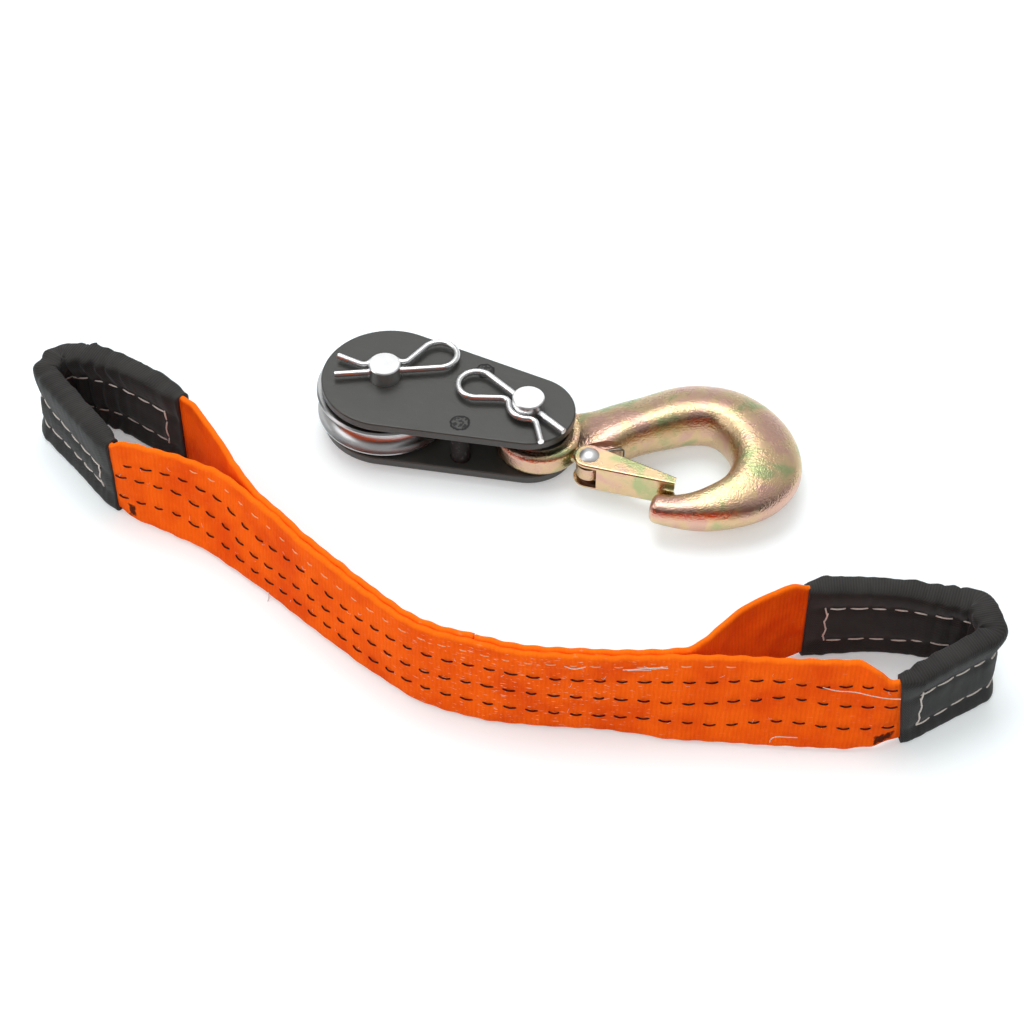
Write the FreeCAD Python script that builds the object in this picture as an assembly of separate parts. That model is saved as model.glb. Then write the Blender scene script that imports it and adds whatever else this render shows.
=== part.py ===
import FreeCAD, Part

import math
import os

from FreeCAD import Placement, Rotation, Vector

# Snatch block with a swivelling eye hook, and the tree strap sold with it.
# The block lies on its pin heads. The origin is the foot of the sheave pin's
# head, on the surface the set lies on. +X runs from the sheave pin to the hook
# pin, and +Z is up, along both pins. All sizes are in millimetres.

# Side plates: two rounds of different radius joined by straight flanks
PIN_SPACING = 75.0
PLATE_THICKNESS = 4.76
PLATE_GAP = 19.05
PLATE_SHEAVE_END_RADIUS = 33.7
PLATE_HOOK_END_RADIUS = 23.3
SHEAVE_END_SHIFT = 2.0
PLATE_EDGE_ROUND = 0.8

# Spacer posts, swaged flush in both plates
POST_FROM_SHEAVE_PIN = 46.0
POST_FROM_FLANK = 8.6
POST_DIAMETER = 9.5
POST_TENON_DIAMETER = 7.9
POST_HEAD_DIAMETER = 9.1
POST_FIT = 0.05

# Clevis pins and their cross holes
PIN_DIAMETER = 15.875
PIN_HEAD_DIAMETER = 20.6
PIN_HEAD_THICKNESS = 5.1
PIN_HEAD_CHAMFER = 1.0
PIN_END_CHAMFER = 0.5
PIN_ABOVE_PLATE = 8.8
PIN_FIT = 0.08
PIN_HEAD_GAP = 0.1
CROSS_HOLE_ABOVE_PLATE = 3.4
CROSS_HOLE_DIAMETER = 3.9

# Hairpin clips
CLIP_WIRE = 3.1
CLIP_LEG_BEYOND_PIN = 25.0
CLIP_LOOP_CENTRE = 27.7
CLIP_LOOP_RADIUS = 9.0
CLIP_BEND_RADIUS = 4.0
CLIP_FLARE_LENGTH = 12.5
CLIP_FLARE_ANGLE = 33.0
CLIP_GRIP_GAP = 0.12
SHEAVE_CLIP_ANGLE = -156.7
HOOK_CLIP_ANGLE = -28.5

# Sheave and its bushing
SHEAVE_RADIUS = 34.4
SHEAVE_RIM_WIDTH = 15.6
SHEAVE_LIP = 1.5
SHEAVE_GROOVE_DEPTH = 7.0
SHEAVE_RIM_THICKNESS = 4.2
SHEAVE_WEB = 8.0
SHEAVE_HUB_RADIUS = 15.0
SHEAVE_HUB_WIDTH = 18.3
SHEAVE_EDGE_ROUND = 0.8
BUSHING_WALL = 3.2
BUSHING_LENGTH = 18.5
BUSHING_FIT = 0.06

# Hook eye, measured from the hook pin along the hook's load line
HOOK_ANGLE = 3.8
EYE_THICKNESS = 12.5
EYE_RADIUS = 22.2
EYE_WALL = 8.35
EYE_EDGE_ROUND = 3.4
EYE_PIN_GAP = 0.12
EYE_PLATE_GAP = 0.2

# Hook body: outer point, inner point, half thickness and taper of each station,
# from the eye round the bowl to the tip. The load line is y = 0. A positive
# taper makes the section thicker at its inner point, a negative one thinner.
HOOK_STATIONS = [
    (17.6, 17.6, 19.0, -12.8, 5.2, 0.0),
    (25.2, 20.4, 26.6, -11.6, 6.0, 0.0),
    (32.2, 24.2, 34.4, -10.3, 9.3, 0.15),
    (46.4, 34.5, 51.2, 0.6, 12.0, 0.3),
    (62.2, 45.5, 65.9, 11.7, 13.2, 0.3),
    (79.6, 51.8, 76.4, 18.0, 13.5, 0.3),
    (97.6, 51.1, 86.6, 20.8, 13.8, 0.3),
    (116.0, 41.9, 95.3, 15.7, 14.0, 0.3),
    (130.0, 25.9, 100.7, 7.3, 14.0, 0.3),
    (136.6, 4.0, 102.0, -2.8, 13.5, 0.3),
    (131.8, -14.8, 98.9, -12.1, 12.8, 0.25),
    (118.9, -28.2, 92.0, -19.0, 11.4, 0.15),
    (101.6, -36.6, 85.7, -23.0, 9.6, 0.0),
    (85.6, -39.8, 79.6, -24.7, 8.0, -0.1),
    (69.2, -39.4, 69.4, -25.6, 6.9, -0.15),
]
HOOK_TIP_ROUND = 3.8
HOOK_SECTION_POWER = 2.3
HOOK_SECTION_POINTS = 16

# Latch, its rivet and its spring, in the hook's own frame
LATCH_PIVOT = (34.3, -13.9)
LATCH_WIDTH = 16.0
LATCH_SHEET = 1.6
LATCH_EAR_RADIUS = 7.6
LATCH_LENGTH = 44.4
LATCH_WEB_SLOPE = -1.0
LATCH_OPENING = 32.0
LATCH_END_WIDTH = 4.8
LATCH_WEB_START = 5.4
LATCH_SEAT_LENGTH = 8.5
LATCH_SEAT_HEIGHT = 9.5
LATCH_SEAT_DEPTH = 2.3
LATCH_BEND_RADIUS = 1.0
LATCH_SIDE_GAP = 0.4
LUG_THICKNESS = 7.0
LUG_RADIUS = 6.4
RIVET_DIAMETER = 5.0
RIVET_HEAD_DIAMETER = 9.8
RIVET_HEAD_HEIGHT = 2.0
RIVET_FIT = 0.08
SPRING_WIRE = 1.0
SPRING_BEAD = 1.04
SPRING_COIL_RADIUS = 3.5
SPRING_PITCH = 1.12
SPRING_BRIDGE_LEG = 18.0
SPRING_BRIDGE_ANGLE = 23.6
SPRING_WEB_LEG = 14.0
SPRING_WEB_LEG_ANGLE = -8.9
SPRING_LUG_GAP = 0.2
SPRING_CORNER_RADIUS = 2.2

# Strap: its reach from eye to eye, and where it stands beside the block
WEBBING_WIDTH = 50.8
WEBBING_THICKNESS = 3.0
PLY_GAP = 0.3
END_GAP = 0.6
STRAP_LEFT_X = -160.0
STRAP_REACH = 482.5
STRAP_FROM_BLOCK = 165.0

# Its course on the ground: the near face of the doubled webbing, left to right,
# and the middle of the webbing round each eye. Each x is measured from that end
# of the strap, and each y from the strap's foremost line. The foremost run starts
# and ends at a share of the reach, and the webbing's ends meet behind it.
SEAM_FACE_LEFT = [(56.0, 67.0), (105.0, 63.5)]
SEAM_FACE_RIGHT = [(-33.5, 46.0)]
FORE_RUN_START_SHARE = 0.485
FORE_RUN_END_SHARE = 0.5845
FORE_RUN_RISE = 0.5
SEAM_RADII = [20.0, 105.0, 75.0, 110.0, 22.0]
BUTT_JOINT_SHARE = 0.5405
LEFT_EYE = [(0.5, 107.0), (3.0, 122.5), (36.0, 121.0), (81.0, 106.5), (115.0, 68.0)]
LEFT_EYE_RADII = [6.5, 6.0, 60.0, 45.0, 40.0]
LEFT_MERGE = 138.0
RIGHT_EYE = [(-0.5, 87.0), (-12.0, 104.5), (-52.5, 101.0), (-90.5, 84.5)]
RIGHT_EYE_RADII = [6.0, 6.0, 90.0, 40.0]
RIGHT_MERGE = -126.5
MERGE_RADIUS = 30.0

# Eye sleeves: fabric tubes round the webbing, which is gathered where it enters
SLEEVE_WALL = 1.3
SLEEVE_SLACK = 0.15
GATHERED_WIDTH = 44.0
GATHER_LENGTH = 12.0
GATHER_CLEARANCE = 3.0
LEFT_EYE_MIDDLE = 85.0
RIGHT_EYE_MIDDLE = 55.0
LEFT_SLEEVE_MARGINS = (0.0, 4.5)
RIGHT_SLEEVE_MARGINS = (-2.0, 2.0)
SLEEVE_LEAD = 16.0
SLEEVE_TRIM = 30.0

# Heights worked out from the sizes above
LOWER_PLATE_Z = PIN_HEAD_THICKNESS + PIN_HEAD_GAP
GAP_Z = LOWER_PLATE_Z + PLATE_THICKNESS
UPPER_PLATE_Z = GAP_Z + PLATE_GAP
BLOCK_TOP_Z = UPPER_PLATE_Z + PLATE_THICKNESS
SHEAVE_MID_Z = GAP_Z + PLATE_GAP / 2
HOOK_MID_Z = GAP_Z + EYE_PLATE_GAP + EYE_THICKNESS / 2
CLIP_Z = BLOCK_TOP_Z + CROSS_HOLE_ABOVE_PLATE
PIN_RADIUS = PIN_DIAMETER / 2
BUSHING_BORE_RADIUS = PIN_RADIUS + BUSHING_FIT
BUSHING_OUTER_RADIUS = BUSHING_BORE_RADIUS + BUSHING_WALL
EYE_BORE_RADIUS = EYE_RADIUS - EYE_WALL
EYE_CENTRE_X = EYE_BORE_RADIUS - PIN_RADIUS - EYE_PIN_GAP
STRAP_RIGHT_X = STRAP_LEFT_X + STRAP_REACH
UP = Vector(0, 0, 1)
QUARTER_TURN = 90.0
EIGHTH_TURN = QUARTER_TURN / 2
FULL_TURN = 4 * QUARTER_TURN


# General shapes

def cylinder(radius, low, high, x=0.0, y=0.0):
    return Part.makeCylinder(radius, high - low, Vector(x, y, low))


def extruded(edges, low, high):
    face = Part.Face(Part.Wire(edges))
    solid = face.extrude(Vector(0, 0, high - low))
    solid.translate(Vector(0, 0, low))
    return solid


def polygon_edges(points):
    corners = [Vector(x, y, 0) for x, y in points]
    following = corners[1:] + corners[:1]
    return [Part.LineSegment(a, b).toShape() for a, b in zip(corners, following)]


def revolved(profile, x=0.0, y=0.0):
    """Turn a closed profile of (radius, height) points round a vertical axis."""
    corners = [Vector(radius, 0, height) for radius, height in profile]
    wire = Part.makePolygon(corners + corners[:1])
    solid = Part.Face(wire).revolve(Vector(0, 0, 0), UP, FULL_TURN)
    solid.translate(Vector(x, y, 0))
    return solid


def polar(radius, degrees, centre=(0.0, 0.0)):
    angle = math.radians(degrees)
    return (centre[0] + radius * math.cos(angle), centre[1] + radius * math.sin(angle))


def arc_edge(centre, radius, start, end, z=0.0):
    """Arc about a centre from one polar angle to another, in degrees."""
    points = [polar(radius, angle, centre) for angle in (start, (start + end) / 2, end)]
    return Part.Arc(*[Vector(x, y, z) for x, y in points]).toShape()


def line_edge(start, end, z=0.0):
    return Part.LineSegment(Vector(*start, z), Vector(*end, z)).toShape()


def tube(edges, wire_diameter):
    """Round wire along a path of tangent lines and arcs."""
    path = Part.Wire(edges)
    first = edges[0]
    start = first.valueAt(first.FirstParameter)
    heading = first.tangentAt(first.FirstParameter)
    section = Part.Wire(Part.makeCircle(wire_diameter / 2, start, heading))
    follows_helix = len(edges) == 1
    return path.makePipeShell([section], True, follows_helix)


def placed(shape, x, y, degrees):
    turned = shape.copy()
    turned.Placement = Placement(Vector(x, y, 0), Rotation(UP, degrees)).multiply(turned.Placement)
    return turned


def on_hook(shape):
    """Carry a shape from the hook's own frame to where the hook lies."""
    turned = placed(shape, PIN_SPACING, 0, HOOK_ANGLE)
    turned.translate(Vector(0, 0, HOOK_MID_Z))
    return turned


# Paths of straight runs and rounded corners

def offset_corners(corners, distance):
    """Corners of the same path moved to its left by a distance."""
    normals = []
    for (ax, ay), (bx, by) in zip(corners, corners[1:]):
        length = math.hypot(bx - ax, by - ay)
        normals.append((-(by - ay) / length, (bx - ax) / length))
    befores = normals[:1] + normals
    afters = normals + normals[-1:]
    moved = []
    for (x, y), before, after in zip(corners, befores, afters):
        share = distance / (1 + before[0] * after[0] + before[1] * after[1])
        moved.append((x + share * (before[0] + after[0]), y + share * (before[1] + after[1])))
    return moved


def turn_at(before, corner, after):
    """Signed turn of the path at a corner, in radians, left positive."""
    heading_in = math.atan2(corner[1] - before[1], corner[0] - before[0])
    heading_out = math.atan2(after[1] - corner[1], after[0] - corner[0])
    return math.remainder(heading_out - heading_in, math.tau)


def offset_radii(corners, radii, distance):
    """Bend radii of the path that is moved to its left by a distance."""
    moved = []
    for before, corner, after, radius in zip(corners, corners[1:], corners[2:], radii):
        side = math.copysign(1.0, turn_at(before, corner, after))
        moved.append(radius - side * distance)
    return moved


def rounded_edges(corners, radii):
    """Edges of an open path whose inner corners are rounded by arcs."""
    edges = []
    start = Vector(*corners[0], 0)
    for before, corner, after, radius in zip(corners, corners[1:], corners[2:], radii):
        here = Vector(*corner, 0)
        to_before = (Vector(*before, 0) - here).normalize()
        to_after = (Vector(*after, 0) - here).normalize()
        half_turn = abs(turn_at(before, corner, after)) / 2
        reach = radius * math.tan(half_turn)
        first = here + to_before * reach
        last = here + to_after * reach
        to_centre = (to_before + to_after).normalize()
        middle = here + to_centre * (radius / math.cos(half_turn) - radius)
        edges.append(Part.LineSegment(start, first).toShape())
        edges.append(Part.Arc(first, middle, last).toShape())
        start = last
    edges.append(Part.LineSegment(start, Vector(*corners[-1], 0)).toShape())
    return edges


def band(corners, radii, thickness, low, high):
    """Upright band of even thickness whose middle follows a rounded path."""
    sides = []
    for distance in (thickness / 2, -thickness / 2):
        side_corners = offset_corners(corners, distance)
        sides.append((side_corners, rounded_edges(side_corners, offset_radii(corners, radii, distance))))
    (left_corners, left), (right_corners, right) = sides
    caps = [line_edge(left_corners[0], right_corners[0]), line_edge(left_corners[-1], right_corners[-1])]
    return extruded(Part.__sortEdges__(left + right + caps), low, high)


# Block frame

def flank_lean():
    """Slope of the plate's straight flanks, in radians."""
    return math.asin((PLATE_SHEAVE_END_RADIUS - PLATE_HOOK_END_RADIUS) / (PIN_SPACING - SHEAVE_END_SHIFT))


def plate_outline():
    """Teardrop of two arcs and their common tangents, sheave end first."""
    big = (SHEAVE_END_SHIFT, 0.0)
    small = (PIN_SPACING, 0.0)
    tangent = QUARTER_TURN - math.degrees(flank_lean())
    near_flank, far_flank = [
        (polar(PLATE_SHEAVE_END_RADIUS, angle, big), polar(PLATE_HOOK_END_RADIUS, angle, small))
        for angle in (-tangent, tangent)]
    return [
        arc_edge(big, PLATE_SHEAVE_END_RADIUS, tangent, FULL_TURN - tangent),
        line_edge(*near_flank),
        arc_edge(small, PLATE_HOOK_END_RADIUS, -tangent, tangent),
        line_edge(*reversed(far_flank)),
    ]


def post_positions():
    """Centres of the posts, an even distance inside the plate's flanks."""
    lean = flank_lean()
    along = POST_FROM_SHEAVE_PIN - SHEAVE_END_SHIFT
    across = (PLATE_SHEAVE_END_RADIUS - along * math.sin(lean) - POST_FROM_FLANK) / math.cos(lean)
    return [(POST_FROM_SHEAVE_PIN, side * across) for side in (-1, 1)]


def side_plate(low, outer_face):
    """One side plate, with countersunk post holes on its outer face."""
    high = low + PLATE_THICKNESS
    plate = extruded(plate_outline(), low, high)
    rims = [edge for edge in plate.Edges if abs(edge.BoundBox.ZMax - edge.BoundBox.ZMin) < 1e-6]
    plate = plate.makeFillet(PLATE_EDGE_ROUND, rims)
    for x in (0.0, PIN_SPACING):
        plate = plate.cut(cylinder(PIN_RADIUS + PIN_FIT, low - 1, high + 1, x))
    inward = -1 if outer_face == high else 1
    hole = POST_TENON_DIAMETER / 2 + POST_FIT
    wide = POST_HEAD_DIAMETER / 2 + POST_FIT
    deep = outer_face + inward * (wide - hole)
    for x, y in post_positions():
        plate = plate.cut(cylinder(hole, low - 1, high + 1, x, y))
        plate = plate.cut(revolved([(0, outer_face), (wide, outer_face), (hole, deep), (0, deep)], x, y))
    return plate


def spacer_post(x, y):
    """Turned post: a thick middle, and two tenons swaged out to flush heads."""
    tenon = POST_TENON_DIAMETER / 2
    body = POST_DIAMETER / 2
    head = POST_HEAD_DIAMETER / 2
    low, high = LOWER_PLATE_Z, BLOCK_TOP_Z
    profile = [
        (0, low), (head, low), (tenon, low + head - tenon), (tenon, GAP_Z), (body, GAP_Z),
        (body, UPPER_PLATE_Z), (tenon, UPPER_PLATE_Z), (tenon, high - head + tenon), (head, high), (0, high),
    ]
    return revolved(profile, x, y)


# Pins and clips

def clevis_pin(x, clip_angle):
    """Headed pin, head down, with a cross hole above the upper plate."""
    head = PIN_HEAD_DIAMETER / 2
    top = BLOCK_TOP_Z + PIN_ABOVE_PLATE
    profile = [
        (0, 0), (head - PIN_HEAD_CHAMFER, 0), (head, PIN_HEAD_CHAMFER), (head, PIN_HEAD_THICKNESS),
        (PIN_RADIUS, PIN_HEAD_THICKNESS), (PIN_RADIUS, top - PIN_END_CHAMFER),
        (PIN_RADIUS - PIN_END_CHAMFER, top), (0, top),
    ]
    drill = Part.makeCylinder(
        CROSS_HOLE_DIAMETER / 2, 2 * PIN_DIAMETER, Vector(-PIN_DIAMETER, 0, CLIP_Z), Vector(1, 0, 0))
    return placed(revolved(profile).cut(drill), x, 0, clip_angle)


def hairpin_clip(x, angle):
    """Straight leg through the pin, a loop, and a waved leg that hugs the pin."""
    hug = PIN_RADIUS + CLIP_GRIP_GAP + CLIP_WIRE / 2
    loop_centre = (-CLIP_LOOP_CENTRE, -CLIP_LOOP_RADIUS)
    loop_end = polar(CLIP_LOOP_RADIUS, -EIGHTH_TURN, loop_centre)

    # The first bend touches both the slanting run and the arc round the pin
    slant = (loop_end[0] - loop_end[1]) / math.sqrt(2) + CLIP_BEND_RADIUS
    along = -math.sqrt((hug + CLIP_BEND_RADIUS) ** 2 - slant ** 2)
    bend_in = ((along + slant) / math.sqrt(2), (along - slant) / math.sqrt(2))
    meets = math.degrees(math.atan2(bend_in[1], bend_in[0]))
    slant_end = polar(CLIP_BEND_RADIUS, 3 * EIGHTH_TURN, bend_in)
    bend_out = (-bend_in[0], bend_in[1])
    flare_start = polar(CLIP_BEND_RADIUS, QUARTER_TURN - CLIP_FLARE_ANGLE, bend_out)
    flare_end = polar(CLIP_FLARE_LENGTH, -CLIP_FLARE_ANGLE, flare_start)

    edges = [
        line_edge((CLIP_LEG_BEYOND_PIN, 0), (-CLIP_LOOP_CENTRE, 0)),
        arc_edge(loop_centre, CLIP_LOOP_RADIUS, QUARTER_TURN, 2 * QUARTER_TURN),
        arc_edge(loop_centre, CLIP_LOOP_RADIUS, 2 * QUARTER_TURN, 7 * EIGHTH_TURN),
        line_edge(loop_end, slant_end),
        arc_edge(bend_in, CLIP_BEND_RADIUS, 3 * EIGHTH_TURN, 2 * QUARTER_TURN + meets),
        arc_edge((0, 0), hug, meets, -2 * QUARTER_TURN - meets),
        arc_edge(bend_out, CLIP_BEND_RADIUS, -meets, QUARTER_TURN - CLIP_FLARE_ANGLE),
        line_edge(flare_start, flare_end),
    ]
    clip = placed(tube(edges, CLIP_WIRE), x, 0, angle)
    clip.translate(Vector(0, 0, CLIP_Z))
    return clip


# Sheave

def sheave_wheel():
    """Grooved rim on a thin web, with a hub as wide as the gap allows."""
    half_rim = SHEAVE_RIM_WIDTH / 2
    half_hub = SHEAVE_HUB_WIDTH / 2
    half_web = SHEAVE_WEB / 2
    root = SHEAVE_RADIUS - SHEAVE_GROOVE_DEPTH
    rim_inner = root - SHEAVE_RIM_THICKNESS
    groove_half = half_rim - SHEAVE_LIP

    def mirror(point):
        return Vector(point.x, 0, -point.z)

    upper = [
        Vector(BUSHING_OUTER_RADIUS, 0, half_hub), Vector(SHEAVE_HUB_RADIUS, 0, half_hub),
        Vector(SHEAVE_HUB_RADIUS + 1, 0, half_web), Vector(rim_inner, 0, half_web),
        Vector(rim_inner + 1, 0, half_rim), Vector(SHEAVE_RADIUS - SHEAVE_EDGE_ROUND, 0, half_rim),
        Vector(SHEAVE_RADIUS, 0, half_rim - SHEAVE_EDGE_ROUND), Vector(SHEAVE_RADIUS, 0, groove_half),
    ]
    lower = [mirror(point) for point in reversed(upper)]
    groove = Part.Arc(upper[-1], Vector(root, 0, 0), lower[0]).toShape()
    runs = list(zip(upper, upper[1:])) + list(zip(lower, lower[1:])) + [(lower[-1], upper[0])]
    edges = [Part.LineSegment(a, b).toShape() for a, b in runs] + [groove]
    wheel = Part.Face(Part.Wire(Part.__sortEdges__(edges))).revolve(Vector(0, 0, 0), UP, FULL_TURN)
    wheel.translate(Vector(0, 0, SHEAVE_MID_Z))
    return wheel


def sheave_bushing():
    low = SHEAVE_MID_Z - BUSHING_LENGTH / 2
    high = low + BUSHING_LENGTH
    return cylinder(BUSHING_OUTER_RADIUS, low, high).cut(cylinder(BUSHING_BORE_RADIUS, low - 1, high + 1))


# Hook

def hook_section(outer_x, outer_y, inner_x, inner_y, half_thickness, taper):
    """Closed egg-shaped curve in an upright plane."""
    middle = Vector((outer_x + inner_x) / 2, (outer_y + inner_y) / 2, 0)
    reach = Vector((outer_x - inner_x) / 2, (outer_y - inner_y) / 2, 0)
    points = []
    for step in range(HOOK_SECTION_POINTS):
        angle = math.tau * step / HOOK_SECTION_POINTS
        across = math.copysign(abs(math.cos(angle)) ** (2 / HOOK_SECTION_POWER), math.cos(angle))
        rise = math.copysign(abs(math.sin(angle)) ** (2 / HOOK_SECTION_POWER), math.sin(angle))
        height = half_thickness * (1 - taper * across) / (1 + abs(taper) / 4)
        points.append(middle + reach * across + UP * (height * rise))
    curve = Part.BSplineCurve()
    curve.interpolate(points, PeriodicFlag=True)
    return Part.Wire(curve.toShape())


def hook_bow():
    """Neck, bowl and tip, swept through the stations, with the tip's end rounded."""
    middles = [Vector((outer_x + inner_x) / 2, (outer_y + inner_y) / 2, 0)
               for outer_x, outer_y, inner_x, inner_y, half_thickness, taper in HOOK_STATIONS]
    spine = Part.BSplineCurve()
    spine.interpolate(middles)
    sections = [hook_section(*station) for station in HOOK_STATIONS]
    bow = Part.Wire([spine.toShape()]).makePipeShell(sections, True, False)
    tip_face = min(bow.Faces, key=lambda face: (face.CenterOfMass - middles[-1]).Length)
    return bow.makeFillet(HOOK_TIP_ROUND, tip_face.Edges)


def eye_ring():
    """Ring of rounded rectangular section round the hook pin."""
    half = EYE_THICKNESS / 2
    ring = cylinder(EYE_RADIUS, -half, half).cut(cylinder(EYE_BORE_RADIUS, -half - 1, half + 1))
    rims = [edge for edge in ring.Edges if abs(edge.BoundBox.ZMax - edge.BoundBox.ZMin) < 1e-6]
    ring = ring.makeFillet(EYE_EDGE_ROUND, rims)
    ring.translate(Vector(EYE_CENTRE_X, 0, 0))
    return ring


def latch_room():
    """What is cut from the hook's neck so that the ears and coils have room."""
    x, y = LATCH_PIVOT
    beyond = 4 * LATCH_WIDTH
    inner_face = LATCH_WIDTH / 2 - LATCH_SHEET - LATCH_SIDE_GAP
    ear_room = LATCH_EAR_RADIUS + 2 * LATCH_SIDE_GAP
    coil_room = SPRING_COIL_RADIUS + SPRING_WIRE + LATCH_SIDE_GAP
    half_lug = LUG_THICKNESS / 2
    rooms = []
    for low, high in ((inner_face, beyond), (-beyond, -inner_face)):
        opened = extruded(latch_outline(-2 * LATCH_SIDE_GAP), low, high)
        rooms.append(placed(opened, x, y, LATCH_WEB_SLOPE + LATCH_OPENING))
        rooms.append(cylinder(ear_room, low, high, x, y))
    for low, high in ((half_lug, beyond), (-beyond, -half_lug)):
        rooms.append(cylinder(coil_room, low, high, x, y))
    return rooms[0].multiFuse(rooms[1:])


def latch_lug():
    """Rounded lug between the ears, reaching back into the neck."""
    x, y = LATCH_PIVOT
    half = LUG_THICKNESS / 2
    root = extruded(polygon_edges([
        (x - LUG_RADIUS, y), (x + LUG_RADIUS, y), (x + LUG_RADIUS, y + 2 * LUG_RADIUS),
        (x - LUG_RADIUS, y + 2 * LUG_RADIUS)]), -half, half)
    return cylinder(LUG_RADIUS, -half, half, x, y).fuse(root)


def hook_body():
    """Forged hook: eye, tapering neck, bowl and tip, with a drilled lug."""
    inside_ring = cylinder((EYE_RADIUS + EYE_BORE_RADIUS) / 2, -EYE_THICKNESS, EYE_THICKNESS, EYE_CENTRE_X)
    bow = hook_bow().cut(inside_ring).cut(latch_room())
    hook = bow.multiFuse([eye_ring(), latch_lug()])
    x, y = LATCH_PIVOT
    hook = hook.cut(cylinder(RIVET_DIAMETER / 2 + RIVET_FIT, -LATCH_WIDTH, LATCH_WIDTH, x, y))
    return on_hook(hook)


# Latch

def latch_outline(inset):
    """Ear outline about the pivot: a round end that tapers to the latch's end."""
    radius = LATCH_EAR_RADIUS - inset
    front = -radius
    end_x = LATCH_LENGTH
    end_low = (end_x, front)
    end_high = (end_x, -LATCH_EAR_RADIUS + LATCH_END_WIDTH)
    distance = math.hypot(*end_high)
    toward = math.degrees(math.atan2(end_high[1], end_high[0]))
    tangent = toward + math.degrees(math.acos(radius / distance))
    top = polar(radius, tangent)
    return [
        arc_edge((0, 0), radius, tangent, 270),
        line_edge((0, front), end_low),
        line_edge(end_low, end_high),
        line_edge(end_high, top),
    ]


def latch_seat(inset, low, high):
    """Block with a U-shaped outline on the web, open towards the free end."""
    radius = LATCH_SEAT_HEIGHT / 2 - inset
    centre = LATCH_LENGTH - LATCH_SEAT_LENGTH + LATCH_SEAT_HEIGHT / 2
    length = LATCH_LENGTH - centre + inset
    straight = Part.makeBox(length, high - low, 2 * radius, Vector(centre, low, -radius))
    rounded = Part.makeCylinder(radius, high - low, Vector(centre, low, 0), Vector(0, 1, 0))
    return straight.fuse(rounded)


def latch_channel():
    """Folded sheet: two ears joined by a web with a pressed seat at its end."""
    half = LATCH_WIDTH / 2
    inner = half - LATCH_SHEET
    outer = extruded(latch_outline(0), -half, half)
    edge = [e for e in outer.Edges
            if e.BoundBox.YMax < -LATCH_EAR_RADIUS + 1e-3 and e.Length > LATCH_LENGTH / 2]
    outer = outer.makeFillet(LATCH_BEND_RADIUS, edge)
    reach = 2 * LATCH_LENGTH
    web_inner = -LATCH_EAR_RADIUS + LATCH_SHEET
    hollow = extruded(polygon_edges([
        (-reach, web_inner), (reach, web_inner), (reach, reach), (-reach, reach)]), -inner, inner)
    open_back = extruded(polygon_edges([
        (-reach, -reach), (LATCH_WEB_START, -reach),
        (LATCH_WEB_START, reach), (-reach, reach)]), -inner, inner)
    channel = outer.cut(hollow).cut(open_back)

    # The seat: the web's end is pressed out until it lies on the hook's tip
    seat_face = -LATCH_EAR_RADIUS - LATCH_SEAT_DEPTH
    channel = channel.fuse(latch_seat(0, seat_face, web_inner))
    channel = channel.cut(latch_seat(LATCH_SHEET, seat_face + LATCH_SHEET, web_inner + LATCH_SHEET))
    channel = channel.cut(cylinder(RIVET_DIAMETER / 2 + RIVET_FIT, -2 * half, 2 * half))
    return on_hook(placed(channel, LATCH_PIVOT[0], LATCH_PIVOT[1], LATCH_WEB_SLOPE))


def latch_rivet():
    """Shank through both ears and the lug, with a domed head at each end."""
    x, y = LATCH_PIVOT
    seat = LATCH_WIDTH / 2 + RIVET_FIT
    head = RIVET_HEAD_DIAMETER / 2
    dome = (head ** 2 + RIVET_HEAD_HEIGHT ** 2) / (2 * RIVET_HEAD_HEIGHT)
    rivet = cylinder(RIVET_DIAMETER / 2, -seat, seat, x, y)
    for side in (-1, 1):
        ball = Part.makeSphere(dome, Vector(x, y, side * (seat + RIVET_HEAD_HEIGHT - dome)))
        low, high = sorted((side * seat, side * (seat + RIVET_HEAD_HEIGHT)))
        rivet = rivet.fuse(ball.common(cylinder(head, low, high, x, y)))
    return on_hook(rivet)


def spring_bridge(leave, bridge_z):
    """Legs from both coils, and the bent wire that joins them across the neck."""
    bend = polar(SPRING_BRIDGE_LEG - SPRING_CORNER_RADIUS, SPRING_BRIDGE_ANGLE, leave)
    halfway = polar(SPRING_CORNER_RADIUS / math.sqrt(2), SPRING_BRIDGE_ANGLE, bend)
    corner = polar(SPRING_BRIDGE_LEG, SPRING_BRIDGE_ANGLE, leave)
    bend_z = bridge_z - SPRING_CORNER_RADIUS
    halfway_z = bend_z + SPRING_CORNER_RADIUS / math.sqrt(2)

    def turn(side):
        points = [(bend, bridge_z), (halfway, halfway_z), (corner, bend_z)]
        return Part.Arc(*[Vector(*point, side * height) for point, height in points]).toShape()

    across = Part.LineSegment(Vector(*corner, bend_z), Vector(*corner, -bend_z)).toShape()
    edges = [line_edge(leave, bend, bridge_z), turn(1), across, turn(-1), line_edge(bend, leave, -bridge_z)]
    return tube(edges, SPRING_WIRE)


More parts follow.
